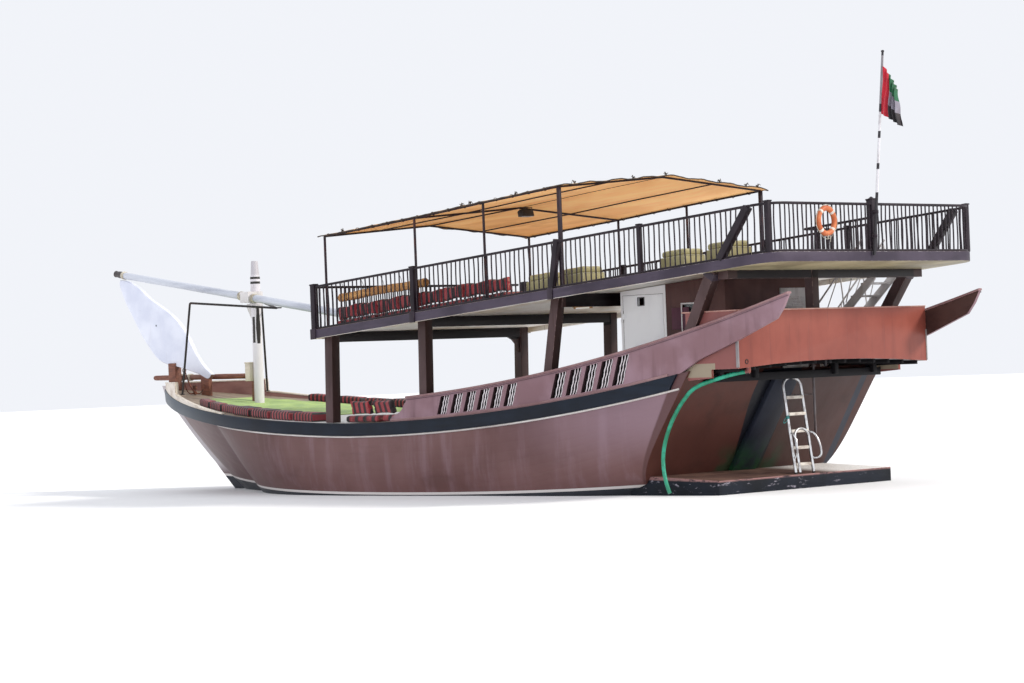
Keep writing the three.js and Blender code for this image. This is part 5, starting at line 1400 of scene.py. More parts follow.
KNEE = ((0, 0), (0.34, 0), (0.2, -0.06), (0.09, -0.16), (0.04, -0.34), (0, -0.36))
knee_points = [(-3.03 + 0.12 + across, deck_height(1.2) - 0.36 + BEAM_LIFT + down) for across, down in KNEE]
knee = ease(swept("frame_knee", [[(1.2 + face, y, z) for y, z in knee_points] for face in (-0.045, 0.045)]),
            0.008)
finished(knee, "plum_paint", frame_paint)
lashes = []
for side in (1, -1):
    strut_foot, strut_top = Vector((-8.65, side * 2.93, 2.2)), Vector((-10.06, side * 3.17, 4.46))
    lashes.append(timber("cap", strut_foot.lerp(strut_top, 0.93), strut_foot.lerp(strut_top, 0.985), 0.262))
finished(merged("strut_collars", lashes), "plum_paint", plum_paint)


# Rails: dark plum hand rails and sills with thin iron balusters between them, each a little bent by
# leaning and loads, and square posts with chamfered heads. The corners aft are rounded.
RAIL_TOP = 0.97


def bar_along(name, path, width, low, high):
    """A rounded rail along a level path."""
    path = np.array(path, float)
    along = np.gradient(path, axis=0)
    along /= np.linalg.norm(along, axis=1)[:, None]
    sections = []
    for (x, y), (dx, dy) in zip(path, along):
        shape = ((-1, 0.2), (-1, 0.8), (-0.75, 1), (0.75, 1), (1, 0.8), (1, 0.2), (0.75, 0), (-0.75, 0))
        sections.append([(x - dy * part * width / 2, y + dx * part * width / 2, low + rise * (high - low))
                         for part, rise in shape])
    return swept(name, sections)


def scatter(number):
    """A fixed scatter between -1 and 1."""
    return (sin(number * 12.9898) * 43758.5453) % 2 - 1


def railing(path, pitch=0.133):
    """Sill, hand rail and balusters along a level path, each baluster bowed its own way."""
    line = np.array([(x, y, 0) for x, y in path], float)
    length = evenly(line, 2)[1]
    spots = evenly(line, 2 * max(1, round(length / pitch)) + 1)[0][1::2]
    fine = evenly(line, max(2, round(length / 0.35)) + 1)[0] if len(path) == 2 else line
    parts = [bar_along("sill", fine[:, :2], 0.042, 0.001, 0.045),
             bar_along("hand_rail", fine[:, :2], 0.064, 0.922, RAIL_TOP)]
    for number, (x, y, _) in enumerate(spots):
        bow, sway = 0.009 * scatter(number + x), 0.008 * scatter(number * 3 + y)
        heights = np.linspace(0.035, 0.935, 8)
        bends = [(x + bow * sin(pi * t) + 0.004 * sin(7 * t + number), y + sway * sin(pi * t), h)
                 for t, h in zip(np.linspace(0, 1, 8), heights)]
        parts.append(tube("baluster", bends, 0.016, 6))
    return parts


def rail_post(x, y, size, high):
    post = block("post", (x - size / 2, y - size / 2, 0.001), (x + size / 2, y + size / 2, high), 0.012)
    cap = block("cap", (x - size / 2 - 0.012, y - size / 2 - 0.012, high - 0.03),
                (x + size / 2 + 0.012, y + size / 2 + 0.012, high), 0.01)
    return [post, cap]


RAIL_Y = 3.37
AFT_X, CORNER = -11.7, 0.5
rail_paint = painted_wood("rail_paint", 0x1E181E, 0x2C242B, 0x141014, 0x6E6268, 0.38, wear=0.8, scale=2.0)
side_parts = railing([(AFT_X + CORNER + 0.04, RAIL_Y), (1.38, RAIL_Y)])
for x, size, high in ((1.37, 0.13, 1.01), (-1.78, 0.11, 1.0), (-8.3, 0.09, 1.0)):
    side_parts += rail_post(x, RAIL_Y, size, high)
side_parts.append(timber("raked", (-5.86, RAIL_Y, 0.001), (-6.05, RAIL_Y, 1.0), 0.125))
side_parts.append(timber("raked_aft", (-10.385, RAIL_Y, 0.012), (-11.13, RAIL_Y, 0.935), 0.15))
side_rail = on_deck(merged("side_rail", side_parts))
both_sides("side_rail", side_rail, ["rail"], slot="plum_paint", finish=rail_paint, smooth=50)
front_parts = railing([(1.44, -RAIL_Y + 0.15), (1.44, RAIL_Y - 0.15)])
finished(on_deck(merged("front_rail", front_parts)), "plum_paint", rail_paint, ["rail_front"], smooth=50)
quarter_turns = np.linspace(0, 0.5 * pi, 9)
corner_line = [(AFT_X + CORNER - 0.44 * sin(a), 2.93 + 0.44 * cos(a)) for a in quarter_turns]
aft_path = evenly(np.array([(x, y, 0) for x, y in corner_line + [(x, -y) for x, y in reversed(corner_line)]]),
                  80)[0]
aft_parts = railing([(float(x), float(y)) for x, y, _ in aft_path])
aft_parts += rail_post(-11.62, 0.1, 0.15, 1.06)
aft_parts.append(turned("point", (-11.62, 0.1, 1.05), (-11.62, 0.1, 1.1), [(0, 0.075), (1, 0.012)], 4))
corner_x, corner_y = corner_line[4]
for side in (1, -1):
    aft_parts += rail_post(corner_x, side * corner_y, 0.11, 1.01)
aft_rail = on_deck(merged("aft_rail", aft_parts))
clamps = []
STAFF_FOOT, STAFF_TOP = Vector((-11.745, 0.225, 4.65)), Vector((-12.0, 0.03, 8.73))
for z in (5.0, 5.48):
    centre = STAFF_FOOT.lerp(STAFF_TOP, (z + 0.035 - 4.65) / 4.08)
    clamps.append(block("clamp", (-11.7, 0.1, z), (centre.x + 0.02, centre.y + 0.01, z + 0.07), 0.008))
    clamps.append(turned("clamp", centre - Vector((0, 0, 0.035)), centre + Vector((0, 0, 0.035)),
                         [(0, 0.046), (0.1, 0.05), (0.9, 0.05), (1, 0.046)], 20))
aft_rail = merged("aft_rail", [aft_rail] + clamps)
finished(aft_rail, "plum_paint", rail_paint, ["rail_aft"], smooth=50)
well_parts = railing([(-8.09, -3.1), (-8.09, -2.2)]) + railing([(-8.09, -2.19), (-9.9, -2.19)])
finished(on_deck(merged("stairwell_guard", well_parts)), "plum_paint", rail_paint, ["stairwell_rail"],
         smooth=50)


# Stairs: steep white ladder-stair up to the well, two planed strings with housed treads, and pipe
# hand rails with crossed braces on both sides.
stair_low, stair_high = np.array((-7.35, sheer_height(-7.35))), np.array((-9.85, deck_height(-9.85) - 0.12))
RISERS = 9
stair_parts = []
for y in (-2.99, -2.29):
    string = plate("string", [(stair_low[0] + 0.06, stair_low[1] + 0.002), (stair_high[0], stair_high[1]),
                              (stair_high[0], stair_high[1] - 0.22),
                              (stair_low[0] - 0.26, stair_low[1] + 0.002)], y, y + 0.045, 0.006)
    stair_parts.append(string)
for step in range(1, RISERS):
    x, z = stair_low + step / RISERS * (stair_high - stair_low)
    stair_parts.append(block("tread", (x - 0.15, -2.97, z - 0.07), (x + 0.11, -2.26, z - 0.03), 0.008))
finished(merged("white_stairs", stair_parts), "white_paint", white_paint, ["stairs"])
guards = []
for y in (-3.03, -2.24):
    low_end, high_end = stair_low + (-0.35, 0.95), stair_high + (0.3, 0.62)
    guards.append(tube("guard", [(low_end[0], y, low_end[1]), (high_end[0], y, high_end[1])], 0.02, 12))
    for part in (0.03, 0.35, 0.67, 0.97):
        foot = stair_low + part * (stair_high - stair_low)
        top = low_end + part * (high_end - low_end)
        guards.append(tube("stanchion", [(foot[0], y, foot[1] - 0.05), (top[0], y, top[1])], 0.016, 10))
    for part in (0.05, 0.37, 0.69):
        foot = stair_low + part * (stair_high - stair_low)
        top = low_end + (part + 0.27) * (high_end - low_end)
        guards.append(tube("brace", [(foot[0], y, foot[1] + 0.03), (top[0], y, top[1] - 0.05)], 0.012, 10))
finished(merged("stair_guards", guards), "white_paint", white_paint, smooth=50)


# Cabin: a deckhouse of painted boards, brown with a maroon panel, whose front part and door are white;
# the windows are framed and glazed, and the door hangs on two pin hinges.
house = dressed("cabin", "deckhouse", 0.006, 2)
house_paint = Finish("house_paint", 0.5, Specular_IOR_Level=0.3)
house_fade = house_paint.noise(0.9, detail=4)
house_board = house_paint.x.off_middle(0.18).eased(0.084, 0.0885)
over_door = house_paint.x.between(-7.3, -6.0) * (house_paint.facing("Y")).eased(0.4, 0.6)
house_colour = house_paint.coats(
    (house_fade.eased(0.35, 0.65), 0x4A2E2C, 0x5E3E3A),
    (house_paint.noise(3, (1, 1, 0.2), 5).eased(0.5, 0.7) * 0.5, 0x38211F),
    (over_door, 0xF0EEF0))
house_relief = (1 - house_board) * 0.6 + house_fade * 0.2
house_paint.feed(house_colour, 0.44 + house_fade * 0.2, house_relief, 0.003)
finished(house, "rose_paint", house_paint, ["cabin"])
maroon = painted_wood("maroon_paint", 0x4C2A38, 0x5A3644, 0x38202A, 0x7A5A60, 0.45)
finished(block("maroon_panel", (-7.93, 1.496, 3.34), (-7.46, 1.516, 3.79), 0.006), "rose_paint", maroon)
frames_of_windows = []


def window_frame(axis, at, a0, a1, z0, z1, thick=0.03, deep=0.03):
    """Four mitred bars round a window in a wall that faces the axis."""
    bars = []
    for u0, u1, w0, w1 in ((a0 - thick, a1 + thick, z0 - thick, z0), (a0 - thick, a1 + thick, z1, z1 + thick),
                           (a0 - thick, a0, z0, z1), (a1, a1 + thick, z0, z1)):
        low = (u0, at - deep / 2, w0) if axis == "y" else (at - deep / 2, u0, w0)
        high = (u1, at + deep / 2, w1) if axis == "y" else (at + deep / 2, u1, w1)
        bars.append(block("bar", low, high, 0.004))
    return bars


panes = []
for axis, at, a0, a1, z0, z1 in (("y", 1.505, -8.15, -7.75, 3.3, 3.85), ("y", -1.505, -7.9, -6.7, 3.25, 3.85),
                                 ("x", -6.045, -1.1, -0.2, 3.1, 3.75), ("x", -6.045, 0.2, 1.1, 3.1, 3.75)):
    frames_of_windows += window_frame(axis, at, a0, a1, z0, z1)
    inner = at - 0.035 if at in (1.505, -6.045) else at + 0.035
    low = (a0 - 0.01, inner - 0.003, z0 - 0.01) if axis == "y" else (inner - 0.003, a0 - 0.01, z0 - 0.01)
    high = (a1 + 0.01, inner + 0.003, z1 + 0.01) if axis == "y" else (inner + 0.003, a1 + 0.01, z1 + 0.01)
    panes.append(block("pane", low, high, 0.001, 1))
finished(merged("window_frames", frames_of_windows), "white_paint", white_paint)
pane_glass = Finish("window_glass", 0.08, Specular_IOR_Level=0.7)
salt = pane_glass.noise(4, detail=5)
pane_glass.feed(pane_glass.mix(salt.eased(0.45, 0.7), 0x1C2226, 0x565A5C), 0.06 + salt * 0.25, salt, 0.0005,
                alpha=0.45 + salt * 0.4)
finished(merged("window_panes", panes), "dark_pipe", pane_glass)
back_door = block("cabin_back_door", (-8.95, -1.06, 2.42), (-8.905, -0.24, 4.12), 0.008)
slats = [block("slat", (-8.962, -0.98, z), (-8.94, -0.32, z + 0.035), 0.006)
         for z in np.arange(3.3, 3.95, 0.06)]
finished(merged("cabin_back_door", [back_door] + slats), "white_paint", white_paint)

door = dressed("cabin_door", "white_door", 0.006, 2)
door_paint = Finish("door_paint", 0.4)
door_dirt = door_paint.noise(1.3, (1, 1, 0.5), 5)
hands = door_paint.noise(7, detail=5)
door_colour = door_paint.coats(
    (door_dirt.eased(0.45, 0.7), 0xFAFAFC, 0xE8E7EC),
    ((2.6 - door_paint.z).eased(0.0, 0.5) * hands.eased(0.45, 0.6) * 0.5, 0x9C948E))
door_paint.feed(door_colour, 0.34 + door_dirt * 0.2, door_dirt * 0.5 + hands * 0.2, 0.002)
finished(door, "white_paint", door_paint, ["cabin_door"], body="door")
latch = [turned("rose", (-7.12, 1.498, 3.1), (-7.12, 1.512, 3.1), [(0, 0.028), (0.7, 0.028), (1, 0.02)], 20),
         tube("lever", through([(-7.12, 1.508, 3.1), (-7.12, 1.54, 3.1), (-7.08, 1.55, 3.1),
                                (-7.0, 1.55, 3.1)], 5), 0.009, 10)]
latch += window_frame("y", 1.503, -6.7, -6.54, 3.88, 4.03, 0.018, 0.012)
steel = stained("door_steel", (12, (1, 1, 1), 4), (0.4, 0.65), 0x77767A, 0x3E3C3E, 0.3, 0.3, 0.001,
                Metallic=0.8)
finished(merged("door_latch", latch), "dark_pipe", steel, body="door", smooth=50)


# Awning frame: dark steel pipes on the upper deck, square timbers at the after pair, with eave pipes,
# rafters and two battens that the cloth lies over; the ridge is a thin stay.
BAYS = ((1.06, 5.74), (-1.79, 5.97), (-3.87, 6.17), (-6.04, 6.36))
EAVE_Y = 3.27
RIDGE_RISE = 0.25
BATTEN_Y = 1.65
awning_bars = []
for x, eave in BAYS:
    for side in (1, -1):
        foot, top = Vector((x, side * EAVE_Y, deck_height(x, 0.002))), Vector((x, side * EAVE_Y, eave))
        if x < -6:
            awning_bars.append(timber("post", foot + Vector((0, side * -0.02, 0.004)),
                                      top + Vector((0, side * -0.02, 0.0)), 0.078))
        else:
            awning_bars.append(tube("post", [foot, top], 0.028, 16))
            awning_bars.append(block("foot", (x - 0.06, side * EAVE_Y - 0.06, foot.z),
                                     (x + 0.06, side * EAVE_Y + 0.055, foot.z + 0.012), 0.003))
        if x != BAYS[2][0]:
            awning_bars.append(tube("rafter", [top, (x, 0, eave + RIDGE_RISE)], 0.022, 14))
for side in (1, -1):
    awning_bars.append(tube("eave", [(x, side * EAVE_Y, eave) for x, eave in BAYS], 0.022, 14))
    lift = RIDGE_RISE * (1 - BATTEN_Y / EAVE_Y) + 0.002
    awning_bars.append(tube("batten", [(x, side * BATTEN_Y, eave + lift) for x, eave in BAYS], 0.015, 10))
ridge = [(x, 0, eave + RIDGE_RISE) for x, eave in BAYS]
awning_bars.append(tube("ridge", ridge[:2], 0.016, 10))
awning_bars.append(tube("stay", ridge[1:], 0.006, 8))
pipe_dark = stained("awning_pipe", (9, (1, 1, 0.5), 5), (0.5, 0.72), 0x2A2028, 0x4A2C28, 0.42, 0.25, 0.001,
                    Specular_IOR_Level=0.25)
finished(merged("awning_pipes", awning_bars), "dark_pipe", pipe_dark, ["awning_frame"], smooth=40)


# Awning: one sheet of tan shade cloth over ridge and eaves, sagging between its supports; a painted
# glow, brighter aft, stands for the light coming through it. Its edges are rolled round a dark rope
# that is lashed to the pipes.
CLOTH_ENDS = (1.21, -6.19)
CLOTH_HALF = 3.34


def eave_line(x):
    """The eave's height; past the first and last pipes the cloth runs on at its slope."""
    (front, low), (aft, high) = BAYS[0], BAYS[-1]
    if x > front:
        return low - 0.0807 * (x - front)
    if x < aft:
        return high - 0.0876 * (x - aft)
    return float(np.interp(-x, [-bay for bay, _ in BAYS], [eave for _, eave in BAYS]))


def cloth_point(x, y):
    """The cloth over its frame: sag in each bay, a droop at its free edges, and small folds."""
    across = abs(y)
    in_y = across / BATTEN_Y if across < BATTEN_Y else (across - BATTEN_Y) / (EAVE_Y - BATTEN_Y)
    bays = ((1.06, -1.79), (-1.79, -6.04))
    in_x = max([sin(pi * (a - x) / (a - b)) for a, b in bays if b <= x <= a] + [0.15])
    sag = 0.034 * abs(sin(pi * in_y)) * in_x
    folds = 0.006 * sin(1.9 * x + 3.1 * y) * sin(4.3 * y + 0.7 * x)
    folds += 0.004 * sin(9.1 * x - 2.3 * y)
    over = max(0.0, across - EAVE_Y) / 0.07
    end = max(0.0, x - 1.06, -6.04 - x) / 0.15
    droop = 0.02 * over * over + 0.014 * end * end * (1 + sin(7 * y))
    roof = eave_line(x) + 0.034 + RIDGE_RISE * (1 - across / CLOTH_HALF) ** 0.96
    return x, y, roof - sag * 0.8 + folds * (0.3 + 0.7 * in_x) - droop


cloth_xs = np.linspace(*CLOTH_ENDS, 75)
cloth_ys = np.linspace(-CLOTH_HALF, CLOTH_HALF, 69)
cloth = skin("awning_cloth", [[cloth_point(float(x), float(y)) for x in cloth_xs] for y in cloth_ys],
             closed=False)
use_modifier(cloth, "SOLIDIFY", thickness=0.003, offset=1.0)
outward(cloth)
shade = Finish("shade_cloth", 0.85, Emission_Strength=0.6)
yarn = shade.noise(60, (1, 1, 1), 3)
worn_patch = shade.noise(0.9, (0.5, 1.0, 1), 5, swirl=0.6)
creases = shade.noise(1.5, (0.3, 2.2, 1), 5, swirl=1.0)
bird_marks = shade.noise(3.2, detail=5, rough=0.65)
cloth_colour = shade.coats(
    (worn_patch.eased(0.35, 0.66), 0xC98B4A, 0xE2AC6C),
    # painted shade: the cloth is darker along its creases
    (creases.eased(0.5, 0.68) * 0.35, 0xA96F3A),
    (bird_marks.eased(0.66, 0.74) * 0.4, 0x7A5230))
# painted light: the cloth is painted darker forward and brighter aft, where more light comes through
aft_glow = (shade.x * -1 + 0.6).eased(0.0, 5.6)
hem_dark = (abs(shade.y)).eased(3.27, 3.3)
cloth_colour = shade.coats(
    (aft_glow * 0.75, shade.mix(0.22, cloth_colour, 0x7E5636), shade.mix(0.35, cloth_colour, 0xFFD9A4)),
    (hem_dark * 0.5, 0x8A6038))
shade.feed(cloth_colour, 0.85, yarn * 0.25 + creases * 1.5, 0.006)
# painted light: the cloth's underside glows in its own colour, standing for daylight through it
under_glow = shade.mix(shade.facing("Z").eased(-0.3, 0.1), cloth_colour, 0x000000)  # daylight through it
shade.link("Emission Color", under_glow)
finished(cloth, "tan_canvas", shade, ["awning"], smooth=60)
edge_lines = [[cloth_point(float(x), side * CLOTH_HALF) for x in cloth_xs] for side in (1, -1)]
edge_lines += [[cloth_point(x, float(y)) for y in cloth_ys] for x in CLOTH_ENDS]
hems, ties = [], []
for number, line in enumerate(edge_lines):
    wavy = [Vector(p) + Vector((0, 0, 0.004 * sin(i * 1.9 + number))) for i, p in enumerate(line)]
    hems.append(tube("hem", wavy, 0.013, 8))
for side in (1, -1):
    for x in np.arange(0.9, -6.1, -0.47):
        eave = eave_line(float(x))
        loop = [(x + 0.012 * s, side * (EAVE_Y + 0.02) + 0.058 * c, eave + 0.006 + 0.034 * s)
                for s, c in ((sin(a), cos(a)) for a in np.linspace(0, 2 * pi, 15))]
        ties.append(tube("tie", loop, 0.006, 6))
tufts = [(-3.3, 3.34), (-3.55, 3.33), (-6.16, 2.9), (-6.18, 1.1), (-6.18, -1.7), (-6.18, -2.6), (-6.17, -3.0),
         (-4.9, 3.34), (-2.6, -3.34), (-6.18, 0.05), (0.4, 3.34)]
for number, (x, y) in enumerate(tufts):
    x, y, z = cloth_point(x, y)
    for strand in range(5):
        turn = 2 * pi * strand / 5 + number
        reach = (0.07 + 0.03 * scatter(number * 7 + strand)) * cos(turn)
        rise = 0.02 + 0.03 * scatter(strand)
        wisp = [(x, y, z + 0.012), (x + reach * 0.5, y + 0.02 * sin(turn), z + 0.035 + 0.01 * strand),
                (x + reach, y + 0.04 * sin(turn), z + rise)]
        ties.append(tube("tuft", wisp, [0.012, 0.009, 0.004], 6))
tarred = stained("tarred_rope", (40, (1, 1, 1), 4), (0.4, 0.65), 0x2C2420, 0x57493C, 0.8, 0, 0.002)
hem = finished(merged("awning_hem", hems), "dark_pipe", tarred, smooth=60)
finished(merged("awning_lashings", ties), "dark_pipe", tarred, smooth=60)


# Floodlight: a cast housing with cooling fins and a ribbed glass underneath, painted black; a bar and
# two arms hang it from the awning's ridge.
lamp_x, lamp_z = -1.99, 6.03
lamp_parts = [plate("housing", [(lamp_x - 0.1, lamp_z), (lamp_x + 0.08, lamp_z - 0.02),
                                (lamp_x + 0.105, lamp_z + 0.1), (lamp_x + 0.03, lamp_z + 0.145),
                                (lamp_x - 0.06, lamp_z + 0.14)], -0.17, 0.17, 0.008)]
for y in np.linspace(-0.12, 0.12, 7):
    lamp_parts.append(plate("fin", [(lamp_x - 0.05, lamp_z + 0.13), (lamp_x + 0.04, lamp_z + 0.13),
                                    (lamp_x + 0.02, lamp_z + 0.165), (lamp_x - 0.035, lamp_z + 0.165)],
                            y - 0.003, y + 0.003, 0.001))
for side in (-1, 1):
    y = side * 0.19
    lamp_parts.append(tube("rod", [(lamp_x, y, lamp_z + 0.07), (lamp_x, y, lamp_z + 0.19)], 0.007, 10))
    lamp_parts.append(turned("knob", (lamp_x, side * 0.165, lamp_z + 0.07),
                             (lamp_x, side * 0.202, lamp_z + 0.07), [(0, 0.016), (0.8, 0.018), (1, 0.012)],
                             14))
lamp_parts.append(tube("bar", [(lamp_x, -0.2, lamp_z + 0.192), (lamp_x, 0.2, lamp_z + 0.192)], 0.009, 10))
for y in (-0.1, 0.1):
    lamp_parts.append(tube("arm", [(lamp_x, y, lamp_z + 0.194), (-1.79, y, 6.2)], 0.008, 8))
lamp_black = stained("lamp_black", (8, (1, 1, 1), 5), (0.45, 0.7), 0x202228, 0x3E4046, 0.5, 0.2, 0.001)
finished(merged("floodlight_housing", lamp_parts), "dark_pipe", lamp_black, ["floodlight"], smooth=40)
lens_glass = stained("lamp_glass", (6, (1, 12, 1), 2), (0.4, 0.6), 0x9AA0A6, 0xC2C6CA, 0.08, 0.1, 0.001,
                     Specular_IOR_Level=0.8)
finished(block("floodlight_glass", (lamp_x - 0.085, -0.14, lamp_z - 0.016),
               (lamp_x + 0.068, 0.14, lamp_z - 0.004), 0.003), "lamp_cover", lens_glass)

# Deck lamps: varnished boards on spacers, screwed under the upper deck's ceiling, each with a
# fluorescent tube between two holders.
board_paint = painted_wood("lamp_board", 0xC89A5C, 0xB98A50, 0x8A6438, 0xE0C090, 0.4, along="x", wear=0.4)
tube_white = stained("lamp_tube", (6, (1, 1, 1), 3), (0.4, 0.6), 0xF2E6C8, 0xFAF4E0, 0.25, 0.1, 0.0003,
                     Emission_Strength=0.35)
for number, x in ((1, -0.8), (2, -3.6)):
    z = deck_height(x) - 0.092
    board = block("board", (x - 0.25, -0.08, z - 0.052), (x + 0.25, 0.08, z - 0.022), 0.006)
    caps = [board, block("cap", (x - 0.26, -0.03, z - 0.085), (x - 0.21, 0.03, z - 0.05), 0.006),
            block("cap", (x + 0.21, -0.03, z - 0.085), (x + 0.26, 0.03, z - 0.05), 0.006),
            block("spacer", (x - 0.2, -0.05, z - 0.024), (x - 0.15, 0.05, z + 0.004), 0.002),
            block("spacer", (x + 0.15, -0.05, z - 0.024), (x + 0.2, 0.05, z + 0.004), 0.002)]
    finished(merged(f"lamp_board_{number}", caps), "tan_canvas", board_paint, [f"ceiling_lamp_{number}"])
    finished(tube(f"lamp_tube_{number}", [(x - 0.215, 0, z - 0.07), (x + 0.215, 0, z - 0.07)], 0.013, 16),
             "lamp_cover", tube_white, smooth=60)


# Flagstaff: a tapered pole clamped to the after rail's middle post, painted white with black bands,
# its foot dark like the rail, with a truck on top and a halyard down one side.
def on_staff(z, forward=0.0, port=0.0):
    point = STAFF_FOOT.lerp(STAFF_TOP, (z - STAFF_FOOT.z) / (STAFF_TOP.z - STAFF_FOOT.z))
    return Vector((point.x + forward, point.y + port, z))


staff_paint = Finish("staff_paint", 0.4)
staff_marks = staff_paint.noise(8, (1, 1, 0.4), 5)
black = staff_paint.z < 5.9
for low, high in ((6.36, 6.48), (6.98, 7.12), (7.5, 7.66), (8.62, 8.8)):
    black = black + staff_paint.z.between(low, high)
pole_colour = staff_paint.coats(
    (staff_marks.eased(0.5, 0.75), 0xD8D6DA, 0xA8A2A4),
    (staff_paint.z.between(7.66, 8.62) * 0.75, 0x4A4048),
    (black, staff_paint.mix(staff_marks.eased(0.55, 0.75), 0x1E1A20, 0x3A343A)))
staff_paint.feed(pole_colour, 0.36 + staff_marks * 0.2, staff_marks, 0.001)
staff = turned("staff_pole", STAFF_FOOT, STAFF_TOP - Vector((0, 0, 0.03)),
               [(0, 0.03), (0.01, 0.032), (0.5, 0.028), (0.985, 0.024), (1, 0.022)], 24)
truck = turned("truck", STAFF_TOP - Vector((0, 0, 0.04)), STAFF_TOP,
               [(0, 0.03), (0.3, 0.034), (0.8, 0.03), (1, 0.012)], 20)
halyard = tube("halyard", [on_staff(8.6, -0.03, 0.02), on_staff(8.1, -0.034, 0.022),
                           on_staff(7.2, -0.04, 0.03), on_staff(6.4, -0.042, 0.03),
                           on_staff(5.75, -0.038, 0.02)], 0.004, 8)
finished(merged("staff_pole", [staff, truck, halyard]), "white_paint", staff_paint, ["flagstaff"], smooth=40)

# Flag: thin woven cloth bent on at the hoist and hanging limp in soft folds; plain bands of red,
# green, white and black.
FLAG_HOIST = 8.42, 7.46
flag_rows = []
cuts = []
for t in np.linspace(0, 1, 29):
    row = []
    for s in np.linspace(0, 1, 61):
        cuts += [s, t, 0.0]
        z_hoist = FLAG_HOIST[0] + t * (FLAG_HOIST[1] - FLAG_HOIST[0])
        root = on_staff(z_hoist, -0.03)
        reach = (0.32 + 0.14 * t) * s ** 0.85 + 0.02 * sin(5 * t + 3 * s)
        fall = 0.62 * s * (1 - 0.5 * t) * (1 - 0.35 * s) + 0.1 * s * s
        fold = (0.02 + 0.045 * s) * sin(2 * pi * (4.4 * s + 0.35 * t) + 1.1) + 0.02 * s * sin(11 * t)
        row.append((root.x - reach, root.y + fold, z_hoist - fall))
    flag_rows.append(row)
flag = skin("limp_flag", flag_rows, closed=False)
flag.data.attributes.new("cut", "FLOAT_VECTOR", "POINT")
flag.data.attributes["cut"].data.foreach_set("vector", cuts)
use_modifier(flag, "SOLIDIFY", thickness=0.002, offset=0.0)
use_modifier(flag, "SUBSURF", levels=1)
bunting = Finish("bunting", 0.75, Sheen_Weight=0.3, Emission_Strength=0.08)
cut = bunting.node("Attribute", {"attribute_name": "cut"}, output="Vector")
along_fly, down_hoist, _ = bunting.parts(cut)
band = bunting.coats(
    (down_hoist > 0.333, 0x0A5A36, 0x7E7A86),
    (down_hoist > 0.667, 0x17141A))
flag_colour = bunting.coats(
    (along_fly > 0.3, 0xB4122A, band),
    (bunting.noise(5, detail=4).eased(0.45, 0.7) * 0.3, 0x3A1018))
weave = bunting.noise(160, (1, 1, 1), 2)
bunting.feed(flag_colour, 0.75, weave, 0.0006)
# painted light: the flag glows faintly in its own colours
bunting.link("Emission Color", flag_colour)
finished(flag, "flag_cloth", bunting, ["flag"], smooth=75)


# Life ring: foam-filled plastic, faded orange, with four pale straps that hold a grab line, hung on
# the after rail by a cord whose ends hang down.
RING_AT = Vector((-11.708, 1.68, 5.33))
RING_RADIUS = 0.25
bpy.ops.object.select_all(action="DESELECT")
bpy.ops.mesh.primitive_torus_add(major_radius=RING_RADIUS, minor_radius=0.054, major_segments=72,
                                 minor_segments=24)
ring = bpy.context.object
ring.name = "ring_buoy"
ring.data.transform(Matrix.Translation(RING_AT) @ Matrix.Rotation(radians(90), 4, "Y"))
foam_orange = Finish("ring_orange", 0.5)
ring_fade = foam_orange.noise(4, detail=5)
ring_dirt = foam_orange.noise(16, detail=5, rough=0.65)
ring_colour = foam_orange.coats(
    (ring_fade.eased(0.4, 0.66), 0xB4592C, 0xC87444),
    (ring_dirt.eased(0.55, 0.72) * 0.5, 0x7E4428))
foam_orange.feed(ring_colour, 0.45 + ring_dirt * 0.2, ring_dirt, 0.0015)
finished(ring, "orange_plastic", foam_orange, ["life_ring"], smooth=60)
bands, grab = [], []
for quarter in range(4):
    turn = pi / 4 + quarter * pi / 2
    out = Vector((0, cos(turn), sin(turn)))
    heart = RING_AT + RING_RADIUS * out
    side_way = Vector((0, -sin(turn), cos(turn)))
    rows = []
    for edge in (-0.028, -0.022, 0.022, 0.028):
        thick = 0.0555 if abs(edge) > 0.025 else 0.0575
        rows.append([heart + out * thick * cos(a) + Vector((thick * sin(a), 0, 0)) + side_way * edge
                     for a in np.linspace(0, 2 * pi, 24, endpoint=False)])
    bands.append(swept("band", rows))
    line = []
    for t in np.linspace(0, 1, 15):
        at = turn + t * pi / 2
        reach = 0.308 + 0.03 * sin(pi * t)
        line.append(RING_AT + Vector((-0.012 * sin(pi * t), reach * cos(at),
                                      reach * sin(at) - 0.02 * sin(pi * t))))
    grab.append(tube("grab", line, 0.0055, 8))
for port, low in ((0.03, 0.36), (-0.05, 0.42), (0.07, 0.3)):
    grab.append(tube("tail", [RING_AT + Vector((-0.05, port * 0.3, -0.29)),
                              RING_AT + Vector((-0.06, port * 0.8, -0.33)),
                              RING_AT + Vector((-0.045, port, -low))], 0.005, 8))
band_white = stained("ring_band", (14, (1, 1, 1), 5), (0.45, 0.7), 0xD9CFC4, 0xA48E7C, 0.6, 0, 0.001)
finished(merged("ring_bands", bands), "white_paint", band_white, smooth=60)
finished(merged("grab_line", grab), "white_paint", rope_white, smooth=60)


# Cushions and pads: striped covers in dark red and black over cotton stuffing, swollen by cloth
# simulation. Mattresses and pillows line both sides of the upper deck.
PAD_PRESSURE = 4.0
SWELL_FRAMES = 20


def points_of(piece):
    """Where the points of a piece's mesh are, a row for each."""
    spots = np.empty(len(piece.data.vertices) * 3)
    piece.data.vertices.foreach_get("co", spots)
    return spots.reshape(-1, 3)


def stuffed(piece, voxel, cap):
    """Swells a pad under pressure; no point goes further than the cap."""
    use_modifier(piece, "REMESH", mode="VOXEL", voxel_size=voxel)
    start = points_of(piece)
    alone(piece)
    cloth = piece.modifiers.new("swell", "CLOTH")
    cloth.settings.use_pressure = True
    cloth.settings.uniform_pressure_force = PAD_PRESSURE
    cloth.settings.effector_weights.gravity = 0
    scene = bpy.context.scene
    for step in range(1, SWELL_FRAMES + 1):
        scene.frame_set(step)
    bpy.ops.object.modifier_apply(modifier=cloth.name)
    scene.frame_set(1)
    moved = points_of(piece) - start
    far = np.linalg.norm(moved, axis=1)[:, None]
    return move_points(piece, start + moved * np.minimum(1, cap / np.maximum(far, 1e-9)))


